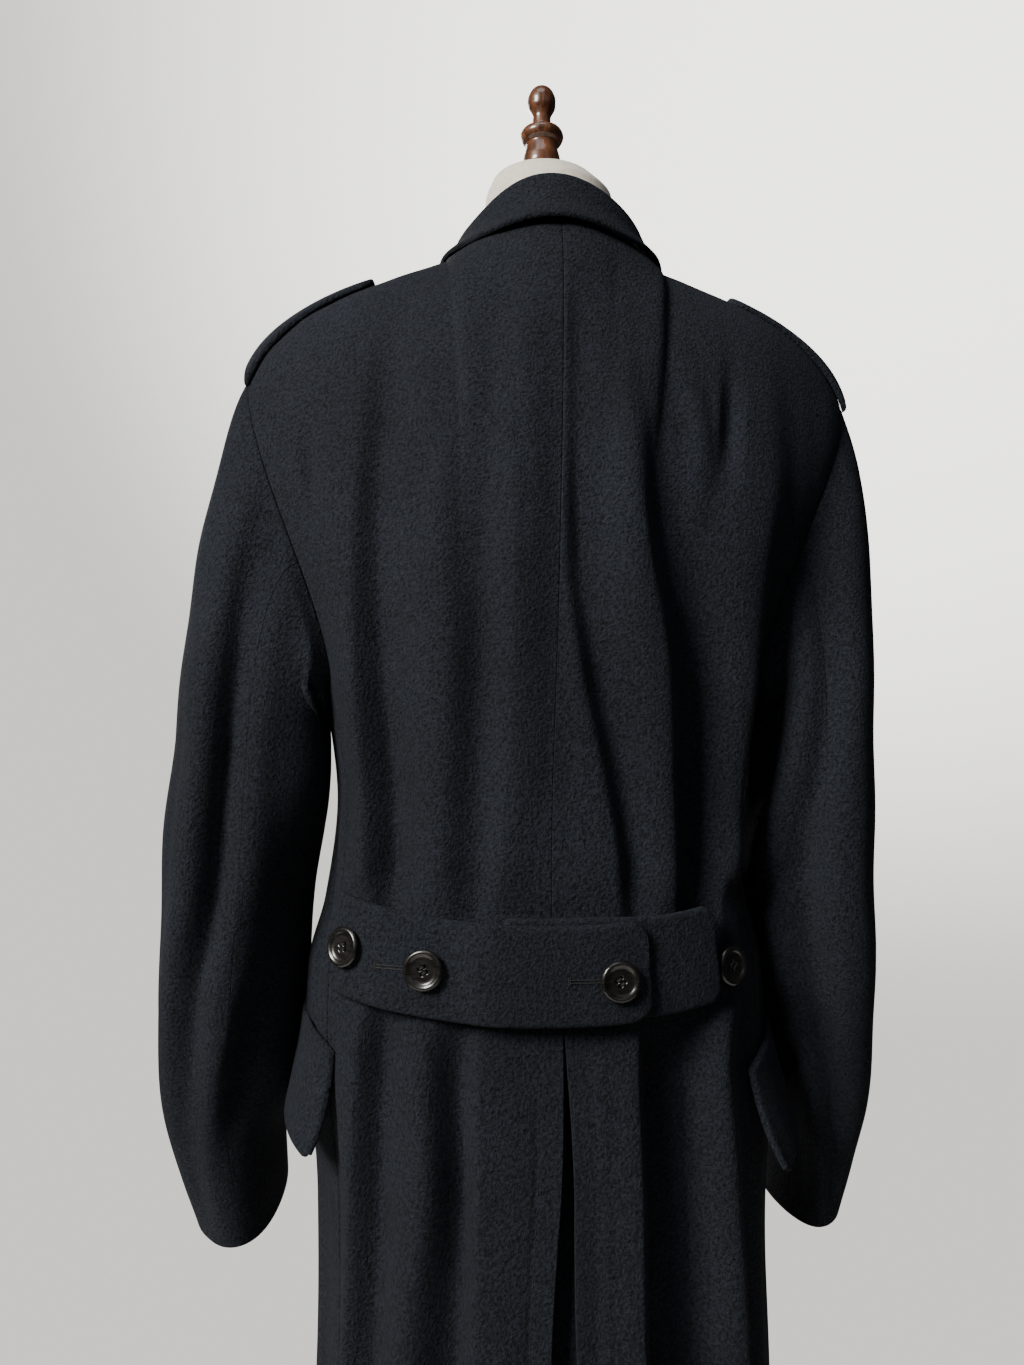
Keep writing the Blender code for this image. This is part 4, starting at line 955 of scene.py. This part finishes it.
def bodyAt(across, z):
    # the body at a length across from the centre back, positive to the left, with its normal
    across, z = np.broadcast_arrays(np.asarray(across, float), np.asarray(z, float))
    dense = np.linspace(0, 1.3, 400)
    line = bodyRing(dense, 0.945)
    run = np.concatenate([[0], np.cumsum(np.linalg.norm(np.diff(line, axis=0), axis=1))])
    share = np.interp(np.abs(across), run, dense)
    points = bodyRing(share, z)
    ds = bodyRing(share + 1e-4, z) - bodyRing(np.maximum(share - 1e-4, 1e-9), z)
    dz = bodyRing(share, z - 1e-4) - bodyRing(share, z + 1e-4)
    normal = unitVec(np.cross(ds, dz))
    normal[..., 0] = np.where(share < 1e-6, 0, normal[..., 0])
    flip = np.stack([np.where(across < 0, -1.0, 1.0), np.ones_like(across), np.ones_like(across)], -1)
    return points * flip, unitVec(normal) * flip


beltSizes = {"height": 0.062, "thick": 0.0045, "clear": 0.0040, "lapOver": 0.0008, "corner": 0.012,
             "over": (0.144, -0.059), "under": (-0.108, 0.032)}


def beltLift(across):
    # height of the left half's inner side over the body: it eases up to lie on the right half
    over = smoothStep((0.066 - across) / 0.030)
    return beltSizes["clear"] + over * (beltSizes["thick"] + beltSizes["lapOver"])


def beltPiece(name, node, ends, round0, round1, levelOf, liftOf, seed):
    # rows up the belt, columns along it; each end's half height follows a quarter circle of its corner radius
    across = edgePacked(np.linspace(ends[0], ends[1], 118), 0.0022)
    half = np.full(across.shape, beltSizes["height"] / 2)
    for end, corner in ((ends[0], round0), (ends[1], round1)):
        if corner:
            near = np.clip(1 - np.abs(across - end) / corner, 0, 1)
            half = half - corner * (1 - np.sqrt(np.clip(1 - near ** 2, 0, 1)))
    up = np.concatenate([[1, 0.975, 0.945, 0.90], np.linspace(0.84, -0.84, 24), [-0.90, -0.945, -0.975, -1]])
    up = up[:, None]
    z = levelOf(across)[None, :] + up * half[None, :]
    points, normals = bodyAt(across[None, :] + 0 * up, z)
    lift = liftOf(across)[None, :] + beltSizes["thick"] + 0.0007 * (1 - up ** 2)
    lift = lift + wander(across[None, :] + 0 * up, z, 0.09, 0.0007, seed)
    outer = points + normals * lift[..., None]
    piece = clothShell(name, node, outer, normals, thick=beltSizes["thick"], radius=0.0030)
    declareCloth(piece, points)


def makeBelt():
    beltPiece("halfBelt_left", "belt_left", beltSizes["over"], 0, beltSizes["corner"],
              beltLevel, beltLift, 0.3)
    beltPiece("halfBelt_right", "belt_right", beltSizes["under"], 0.008, 0.006,
              lambda a: beltLevel(a) + 0.004 * smoothStep((a + 0.08) / 0.06),
              lambda a: np.full(a.shape, beltSizes["clear"]), 2.3)
    print("belt made")


flapSizes = {
    "long": 0.56, "drop": 0.066, "climb": 0.044, "thick": 0.004, "corner": 0.10,
    # height of the rear end, and the share of the body where it starts
    "left": (0.888, 0.935),
    "right": (0.873, 0.880),
}


def makeFlaps():
    # share and height run along the hip; the lower edge stands away from the coat, most at its rear end
    u = np.concatenate([[0, 0.008, 0.018, 0.032], np.linspace(0.05, 0.95, 44), [0.968, 0.982, 0.992, 1]])
    down = np.concatenate([[0, 0.015, 0.035, 0.06], np.linspace(0.1, 0.92, 22), [0.955, 0.975, 0.99, 1]])
    down = down[:, None]
    for side, mirror in (("left", False), ("right", True)):
        rear, start = flapSizes[side]
        share = start + flapSizes["long"] * u + 0.010 * down
        corner = smoothStep(np.minimum(u, 1 - u) / flapSizes["corner"])
        z = rear + flapSizes["climb"] * u - flapSizes["drop"] * down + (1 - corner) * 0.008 * down ** 3
        points = bodyRing(share, z)
        normals = unitVec(np.cross(bodyRing(share + 1e-4, z) - points, bodyRing(share, z - 1e-4) - points))
        away = 0.0010 + down ** 1.6 * (0.022 - 0.014 * u)
        inner = points + normals * away[..., None]
        way = unitVec(normals + np.array([0, 0, 0.25]) * down[..., None])
        outer = inner + way * flapSizes["thick"]
        piece = clothShell(f"pocketFlap_{side}", f"pocket_flap_{side}", outer, way, thick=flapSizes["thick"],
                           mirror=mirror, radius=0.0028)
        declareCloth(piece, points)
    print("flaps made")


makeCollar()
makeStraps()
makeBelt()
makeFlaps()


# Buttons, buttonholes and stitches
buttonSizes = {
    "half": 0.0127,
    "hole": 0.0011,
    "holeAt": 0.0024,
    "holeDeep": 0.0024,
    "threadTop": 0.0046,
    "threadDip": 0.0020,
    "threadRadius": 0.00038,
    "threadApart": 0.0009,
    "grid": 56,
    # radius as a share of the half width, height in mm above the cloth side
    "front": np.array([
        (0, 4.2), (0.30, 4.2), (0.52, 4.15), (0.66, 4.5), (0.74, 5.2), (0.86, 5.8), (0.95, 5.3), (1.0, 4.4)]),
    "behind": np.array([
        (0, 0.0), (0.26, 0.0), (0.28, 0.6), (0.32, 1.3), (0.70, 2.0), (0.93, 2.7), (1.0, 4.0)]),
    # the two in the belt: metres across from the centre back, height
    "belt": {"Left": (0.078, 0.947), "Right": (-0.039, 0.941)},
    "frontLevels": (1.335, 1.20, 1.065, 0.93, 0.795),
}


def discGrid(count):
    # a square grid squeezed into a disc: each point keeps its angle and takes the square's own radius
    line = np.linspace(-1, 1, count)
    x, y = np.meshgrid(line, line, indexing="ij")
    return x * np.sqrt(1 - y * y / 2), y * np.sqrt(1 - x * x / 2)


def rimOf(ids):
    # the outer loop of a square grid of points, closed
    return np.concatenate([ids[0, :-1], ids[:-1, -1], ids[-1, :0:-1], ids[:0:-1, 0], ids[:1, 0]])


def axesFrom(out):
    # two axes square to a direction, the first one level, and the direction itself
    out = unitVec(np.asarray(out, float))
    side = unitVec(np.cross(np.array([0.0, 0.0, 1.0]), out))
    return side, np.cross(out, side), out


def makeButton(name, node, place, out, turn):
    # two height fields over a disc, joined at the rim; four holes are pits near the middle
    x, y = discGrid(buttonSizes["grid"])
    radius = np.hypot(x, y)
    half = buttonSizes["half"]
    top = alongTable(buttonSizes["front"], radius) / 1000
    low = alongTable(buttonSizes["behind"], radius) / 1000
    cosTurn, sinTurn = math.cos(turn), math.sin(turn)
    for i, j in ((1, 1), (1, -1), (-1, 1), (-1, -1)):
        hx = (i * cosTurn - j * sinTurn) * buttonSizes["holeAt"] / math.sqrt(2)
        hy = (i * sinTurn + j * cosTurn) * buttonSizes["holeAt"] / math.sqrt(2)
        near = np.hypot(x * half - hx, y * half - hy) / buttonSizes["hole"]
        top = top - buttonSizes["holeDeep"] * smoothStep((1.25 - near) / 0.5)
    side, up, out = axesFrom(out)
    place = drifted(place)

    def lift(height):
        return (place + side * (x * half)[..., None] + up * (y * half)[..., None]
                + out * height[..., None]).reshape(-1, 3)

    count = buttonSizes["grid"]
    first, second = gridIds(count, count, 0, False), gridIds(count, count, count * count, False)
    rim = stripQuads(rimOf(first), rimOf(second))
    faces = np.concatenate([gridQuads(first)[:, ::-1], gridQuads(second), rim]).tolist()
    meshPiece(name, np.concatenate([lift(top), lift(low)]), faces, horn, node)
    threadBars(f"{name}Thread", place, side, up, out, turn)


def tubeAlong(path, radius, sides, ups):
    # rings square to a closed or open path of points, each with its own up vector
    way = unitVec(np.gradient(path, axis=0))
    side = unitVec(np.cross(way, ups))
    over = np.cross(side, way)
    angle = np.linspace(0, 2 * math.pi, sides, endpoint=False)
    radius = np.broadcast_to(radius, (len(path),))
    return path[:, None] + radius[:, None, None] * (side[:, None] * np.cos(angle)[None, :, None]
                                                    + over[:, None] * np.sin(angle)[None, :, None])


def threadPiece(name, tubes):
    # every tube as rings joined by quads, with a cap at each end
    points, faces, count = [], [], 0
    for grid in tubes:
        rows, cols = grid.shape[:2]
        ids = gridIds(rows, cols, count, True)
        faces += gridQuads(ids).tolist() + [ids[0, :-1][::-1].tolist(), ids[-1, :-1].tolist()]
        points.append(grid.reshape(-1, 3))
        count += rows * cols
    meshPiece(name, np.concatenate(points), faces, thread)


def threadBars(name, place, side, up, out, turn):
    # two strands of twist between the holes, each dipping into its holes at both ends
    at = buttonSizes["holeAt"] / math.sqrt(2)
    across = np.linspace(-1, 1, 13)
    tubes = []
    for row in (-1, 1):
        for strand in (-0.35, 0.35):
            a = across * at
            b = np.full_like(a, row * at + strand * buttonSizes["threadApart"])
            x = a * math.cos(turn) - b * math.sin(turn)
            y = a * math.sin(turn) + b * math.cos(turn)
            height = buttonSizes["threadTop"] - buttonSizes["threadDip"] * np.abs(across) ** 5
            path = place + side * x[:, None] + up * y[:, None] + out * height[:, None]
            tubes.append(tubeAlong(path, buttonSizes["threadRadius"], 8, np.broadcast_to(out, path.shape)))
    threadPiece(name, tubes)


def makeBackButtons():
    onBelt = beltSizes["clear"] + beltSizes["thick"] + coat["seam"]
    onLap = onBelt + beltSizes["thick"] + beltSizes["lapOver"]
    # name, node, metres across from the centre back, height, its underside over the body, turn
    rows = (
        ("buttonBeltLeft", "button_belt_left", *buttonSizes["belt"]["Left"], onBelt, 0.5),
        ("buttonBeltRight", "button_belt_right", *buttonSizes["belt"]["Right"], onLap, 0.75),
        ("buttonSideLeft", "button_side_left", 0.131, 0.956, onBelt, 0.2),
        ("buttonSideRight", "button_side_right", -0.122, 0.942, 0.0015, 0.9),
    )
    for name, node, across, z, off, turn in rows:
        at, out = bodyAt(across, z)
        makeButton(name, node, at + out * off, out, turn)


def makeFrontButtons():
    # down the centre front, each square to the cloth there
    for k, z in enumerate(buttonSizes["frontLevels"]):
        if z > coat["chestZ"]:
            dense = yokeAt(np.full(200, 2.0), np.linspace(0, 1, 200))
            at = np.array([0.0, np.interp(-z, -dense[:, 2], dense[:, 1]), z])
            near = np.array([0.0, np.interp(-(z - 0.01), -dense[:, 2], dense[:, 1]), z - 0.01])
        else:
            at, near = bodyRing(2.0, z), bodyRing(2.0, z - 0.01)
        slope = near - at
        out = unitVec(np.array([0.0, slope[2], -slope[1]]))
        place = at + out * (coat["lap"] + 2 * coat["seam"])
        makeButton(f"buttonFront{k + 1}", f"button_front_{k + 1}", place, out, 0.4 + 0.5 * k)
        side, up, way = axesFrom(out)
        base = at + out * (coat["lap"] + 0.0002)
        buttonhole(f"buttonholeFront{k + 1}", lambda a, b: base + side * (a[:, None]) + up * (b[:, None]),
                   way, 0.013, 0.026)


holeSizes = {"halfGap": 0.0009, "strand": 0.00042, "stitch": 0.0011, "bar": 0.0052}


def buttonhole(name, pointAt, out, start, end):
    # a long loop of close stitches round the slit, closed at its far end by a bar tack
    length = end - start
    gap = holeSizes["halfGap"]
    count = int(length / holeSizes["stitch"] * 3)
    line = np.linspace(start, end, count)
    tubes = []
    for row in (-gap, gap):
        path = drifted(pointAt(line, np.full(count, row)))
        ply = holeSizes["strand"] * (1 + 0.28 * np.cos(np.arange(count) * 2 * math.pi / 3))
        tubes.append(tubeAlong(path, ply, 8, np.broadcast_to(out, (count, 3))))
    for where in (0.0, 0.0009):
        across = np.linspace(-holeSizes["bar"] / 2, holeSizes["bar"] / 2, 13)
        path = drifted(pointAt(np.full(13, end + where), across))
        tubes.append(tubeAlong(path, holeSizes["strand"], 8, np.broadcast_to(out, (13, 3))))
    threadPiece(name, tubes)


def makeBeltHoles():
    for side, end in (("Left", 0.0305), ("Right", 0.0295)):
        across, z = buttonSizes["belt"][side]

        def pointAt(a, b, across=across, z=z):
            points, normals = bodyAt(across + a, z + b)
            lift = beltLift(across + a) + beltSizes["thick"] + 0.0007
            return points + normals * lift[:, None]

        out = bodyAt(across + 0.02, z)[1]
        buttonhole(f"buttonholeBelt{side}", pointAt, out, 0.0110, end)


def makeSlitStitches():
    # one row of topstitching down the left edge of the slit: short lengths of thread with a gap after each
    points, normals, flat = backSurface("left", 0.4)
    run = runLength(flat, 1)
    column = int(np.argmin(np.abs(run[-1] - slitStitch["in"])))
    line, way = points[:, column - 1:column + 2], normals[:, column]
    share = (slitStitch["in"] - run[:, column - 1]) / (run[:, column + 1] - run[:, column - 1])
    path = line[:, 0] + (line[:, 2] - line[:, 0]) * np.clip(share, 0, 1)[:, None]
    keep = path[:, 2] < slitStitch["top"]
    path, way = drifted(path[keep]), way[keep]
    down = np.concatenate([[0], np.cumsum(np.linalg.norm(np.diff(path, axis=0), axis=1))])
    tubes = []
    for start in np.arange(0.003, down[-1] - 0.008, slitStitch["long"] + slitStitch["gap"]):
        t = np.linspace(0, 1, 6)
        at = start + t * slitStitch["long"]
        place = np.stack([np.interp(at, down, path[:, k]) for k in range(3)], -1)
        out = np.stack([np.interp(at, down, way[:, k]) for k in range(3)], -1)
        place = place + unitVec(out) * (0.0002 - 0.0005 * np.abs(2 * t - 1) ** 4)[:, None]
        tubes.append(tubeAlong(place, slitStitch["radius"], 6, unitVec(out)))
    threadPiece("slitStitches", tubes)


makeBackButtons()
makeFrontButtons()
makeBeltHoles()
makeSlitStitches()
print("buttons and buttonholes made")


# Dress form
formSizes = {
    "foot": 0.86,
    "neckTop": 1.5235,
    "frontExtra": 0.004,
    # how far it is drawn in, at each yoke step and then at each level below the first
    "inset": (0.0042, 0.0058, 0.0084, 0.0150, 0.0225, 0.0275, 0.0285, 0.029, 0.027, 0.028, 0.032),
    "steps": (0.0, 0.08, 0.20, 0.34, 0.50, 0.70, 1.0),
    "levels": (1.13, 1.06, 0.98, 0.90, 0.86),
    # radius, height, share of the neckline's own height
    "neck": np.array([
        (0.0570, 1.452, 0.50), (0.0525, 1.472, 0.15), (0.0505, 1.490, 0.0), (0.0480, 1.503, 0.0),
        (0.0400, 1.514, 0.0), (0.0280, 1.5205, 0.0), (0.0160, 1.5235, 0.0)]),
}


def makeForm():
    # the torso follows the coat's own rings, drawn in; the neck rises from it in rings and closes on top
    neckShares = np.linspace(0, 0.30, 11)
    shoulder = np.array([0.36, 0.44, 0.52, 0.60, 0.68, 0.74, 0.80, 0.85, 0.90, 0.95])
    back = np.concatenate([neckShares, shoulder, [1.0]])
    shares = np.concatenate([back, 2 - back[-2::-1]])
    coarse = np.concatenate([formSizes["steps"], [2, 3, 4, 5]])
    steps = np.array([0.0, 0.04, 0.08, 0.14, 0.20, 0.27, 0.34, 0.42, 0.50, 0.60, 0.70, 0.85, 1.0])
    levels = np.array([1.095, 1.06, 1.02, 0.98, 0.94, 0.90, 0.88, 0.86])
    order = np.interp(-levels, [-level for level in formSizes["levels"]], [1, 2, 3, 4, 5])
    rowAt = np.concatenate([steps, order])
    inset = np.interp(rowAt, coarse, formSizes["inset"])
    points, normals = bodyGrid(shares, steps, levels, form=True)
    depth = inset[:, None] + formSizes["frontExtra"] * smoothStep((shares[None, :] - 1.53) / 0.10)
    points = points - normals * depth[..., None]
    points[-1, :, 2] = formSizes["foot"]
    first, count = len(neckShares), len(shares)
    for k in range(first, len(back) - 1):
        points[0, count - 1 - k] = points[0, k]
    whole = drifted(np.concatenate([points, points[:, -2:0:-1] * [-1, 1, 1]], axis=1))
    rows, cols = whole.shape[:2]
    ids = gridIds(rows, cols, 0, True)
    faces = gridQuads(ids).tolist()
    top = list(range(0, first + 1)) + list(range(count - first, count))
    top += [cols - k for k in reversed(top[1:-1])]
    loop = whole[0, top]
    turn = np.arctan2(loop[:, 0], loop[:, 1] + 0.010)
    grid, before = whole.reshape(-1, 3), np.array(top)
    dense = np.linspace(0, 6, 25)
    for at in dense:
        radius, z, share = (np.interp(at, np.arange(7), formSizes["neck"][:, k]) for k in range(3))
        level = loop[:, 2] * share + z * (1 - share)
        ring = np.stack([radius * np.sin(turn), radius * np.cos(turn) - 0.004 * share, level], -1)
        here = len(grid) + np.arange(len(top))
        grid = np.concatenate([grid, drifted(ring)])
        faces += stripQuads(np.append(before, before[0]), np.append(here, here[0])).tolist()
        before = here
    faces += [before.tolist(), ids[-1, :-1].tolist()]
    meshPiece("formTorso", grid, faces, cotton, "form_torso")
    print("form made")


def turnedPiece(name, node, profile, look, steps, place=(0.0, 0.0, 0.0)):
    # a profile of (radius, height) running down its outer side, smoothed between its points and spun round Z
    profile = np.array(profile, float)
    t = np.arange(len(profile))
    dense = np.unique(np.concatenate([np.linspace(0, t[-1], t[-1] * 4 + 1), t]))
    radius = np.maximum(alongTable(np.stack([t, profile[:, 0]], 1), dense), 0)
    height = alongTable(np.stack([t, profile[:, 1]], 1), dense)
    angle = np.linspace(0, 2 * math.pi, steps, endpoint=False)
    inner = slice(1, -1)
    rings = np.stack([radius[inner, None] * np.cos(angle), radius[inner, None] * np.sin(angle),
                      height[inner, None] + 0 * angle], -1)
    rows = len(rings)
    ids = gridIds(rows, steps, 0, True)
    faces = gridQuads(ids).tolist()
    top, low = rows * steps, rows * steps + 1
    faces += [[top, int(a), int(b)] for a, b in zip(ids[0, :-1], ids[0, 1:])]
    faces += [[low, int(b), int(a)] for a, b in zip(ids[-1, :-1], ids[-1, 1:])]
    points = np.concatenate([rings.reshape(-1, 3), [[0, 0, height[0]], [0, 0, height[-1]]]]) + place
    meshPiece(name, points, faces, look, node)


# radius and height of the finial from its top down, in metres above the neck
finialProfile = [
    (0.0, 0.0708), (0.0045, 0.0700), (0.0085, 0.0665), (0.0108, 0.0600), (0.0105, 0.0545),
    (0.0080, 0.0495), (0.0068, 0.0455), (0.0070, 0.0400), (0.0095, 0.0365), (0.0150, 0.0345),
    (0.0167, 0.0305), (0.0150, 0.0265), (0.0118, 0.0240), (0.0125, 0.0190), (0.0140, 0.0130),
    (0.0142, 0.0080), (0.0125, 0.0030), (0.0110, 0.0002), (0.0, 0.0),
]
standSizes = {"base": 0.210, "pole": 0.0125, "top": 0.8597}


def makeStand():
    # plate under the torso, pole and heavy base as one profile, spun round Z
    wide, top, pole = standSizes["base"], standSizes["top"], standSizes["pole"]
    profile = [
        (0.0, top), (0.0435, top), (0.045, top - 0.0012), (0.045, top - 0.0070), (0.0440, top - 0.0082),
        (0.018, top - 0.014), (0.0135, top - 0.0200), (pole, top - 0.026), (pole, 0.60), (pole, 0.30),
        (pole, 0.078), (0.0155, 0.066), (0.020, 0.060), (0.0235, 0.046), (0.026, 0.036), (0.034, 0.0295),
        (0.050, 0.026),
        (0.120, 0.0235), (wide - 0.014, 0.0205), (wide - 0.004, 0.0175), (wide, 0.0125), (wide, 0.0020),
        (wide - 0.0015, 0.0), (0.0, 0.0),
    ]
    turnedPiece("standPole", "stand", profile, iron, 96)


makeForm()
turnedPiece("finialTurned", "finial", finialProfile, walnut, 64,
            (0, 0, formSizes["neckTop"] + 0.0003))
makeStand()
print("form, finial and stand made")


# Studio
studio = {
    "azimuth": 174.0, "distance": 0.76, "height": 1.08, "pitch": 4.0, "axisPixel": 543, "focalPixels": 1025,
    "imageWide": 1024, "imageHigh": 1365,
    # the wall's own colour, then the painted light on it: its strength, from dim to bright, as the view turns
    # up and to the right
    "wall": "fffdf8", "wallDim": 1.02, "wallBright": 3.2, "wallFrom": 0.72, "wallTo": 1.02,
    "brightWay": (-0.35, -0.80, 0.49),
    "ambient": 0.03, "floorRadius": 1.1,
    # name, place, where it points, size, watts, colour
    "lights": [
        ("keyWindow", (2.18, 1.83, 2.6), (0, 0, 1.1), (1.1, 1.2), 180.0, "fffaf2"),
        ("fillCard", (-1.0, 2.6, 2.4), (0, 0, 1.0), (1.6, 1.6), 3.0, "f4f6ff"),
        ("topCard", (0.3, 0.9, 3.4), (0, 0.05, 1.4), (1.4, 1.2), 12.0, "f6f8ff"),
        ("frontCard", (0.8, -2.6, 2.2), (0, 0, 1.0), (1.8, 1.6), 108.0, "fffaf2"),
    ],
}


def makeCamera():
    # round the coat at its azimuth, turned so that the coat's axis falls on its column of the photograph
    a = math.radians(studio["azimuth"])
    place = Vector((math.sin(a), -math.cos(a), 0)) * studio["distance"] + Vector((0, 0, studio["height"]))
    aside = math.atan((studio["axisPixel"] - studio["imageWide"] / 2) / studio["focalPixels"])
    heading = math.atan2(-place.y, -place.x) + aside
    pitch = math.radians(studio["pitch"])
    level = math.cos(pitch)
    ahead = Vector((math.cos(heading) * level, math.sin(heading) * level, math.sin(pitch)))
    data = bpy.data.cameras.new("studioCamera")
    data.sensor_width = 36
    data.lens = studio["focalPixels"] * 36 / studio["imageHigh"]
    data.clip_start = 0.02
    camera = bpy.data.objects.new("studioCamera", data)
    camera.location = place
    camera.rotation_euler = (-ahead).to_track_quat("Z", "Y").to_euler()
    bpy.context.scene.collection.objects.link(camera)
    bpy.context.scene.camera = camera


def areaLight(name, place, target, size, watts, colour):
    data = bpy.data.lights.new(name, "AREA")
    data.shape = "RECTANGLE"
    data.size, data.size_y = size
    data.energy = watts
    data.color = hexLinear(colour)[:3]
    light = bpy.data.objects.new(name, data)
    light.location = place
    light.rotation_euler = (Vector(place) - Vector(target)).to_track_quat("Z", "Y").to_euler()
    bpy.context.scene.collection.objects.link(light)


def makeWorld():
    # a pale wall behind everything, seen only by the camera, with painted light on it that is brightest up
    # and to the right, and a dim even light from all round
    world = bpy.data.worlds.new("paleRoom")
    world.use_nodes = True
    tree = world.node_tree
    tree.nodes.clear()
    way = addNode(tree, "ShaderNodeTexCoord").outputs["Generated"]
    lean = addNode(tree, "ShaderNodeVectorMath", {"operation": "DOT_PRODUCT", 1: studio["brightWay"]},
                   {0: way})
    # painted light on the wall: stronger where the view turns up and to the right, where the window light
    # falls
    rise = addNode(tree, "ShaderNodeMapRange", {
        "interpolation_type": "SMOOTHSTEP", "From Min": studio["wallFrom"], "From Max": studio["wallTo"],
        "To Min": studio["wallDim"], "To Max": studio["wallBright"]}, {"Value": lean.outputs["Value"]})
    seen = addNode(tree, "ShaderNodeBackground", {"Color": hexLinear(studio["wall"])},
                   {"Strength": rise.outputs["Result"]})
    glow = addNode(tree, "ShaderNodeBackground", {
        "Color": hexLinear("eef1f6"), "Strength": studio["ambient"]})
    path = addNode(tree, "ShaderNodeLightPath")
    mix = addNode(tree, "ShaderNodeMixShader", None,
                  {0: path.outputs["Is Camera Ray"], 1: glow.outputs[0], 2: seen.outputs[0]})
    addNode(tree, "ShaderNodeOutputWorld", None, {"Surface": mix.outputs[0]})
    bpy.context.scene.world = world


def makeFloor():
    # a round pale floor, small enough to stay below the camera's view
    angle = np.linspace(0, 2 * math.pi, 128, endpoint=False)
    data = bpy.data.meshes.new("paleFloor")
    rim = studio["floorRadius"] * np.stack([np.cos(angle), np.sin(angle), 0 * angle], 1)
    data.from_pydata(rim.tolist(), [], [list(range(128))])
    look, tree, shader, coords = startMaterial("painted_studio_floor", {"Roughness": 0.7})
    cloud = noiseAt(tree, coords, 1.5, 3.0)
    tree.links.new(rampBetween(tree, cloud, 0.3, 0.7, "d5d3ce", "dcdad5"), shader.inputs["Base Color"])
    data.materials.append(look)
    floor = bpy.data.objects.new("paleFloor", data)
    bpy.context.scene.collection.objects.link(floor)


makeCamera()
makeWorld()
makeFloor()
for row in studio["lights"]:
    areaLight(*row)
print("studio made")
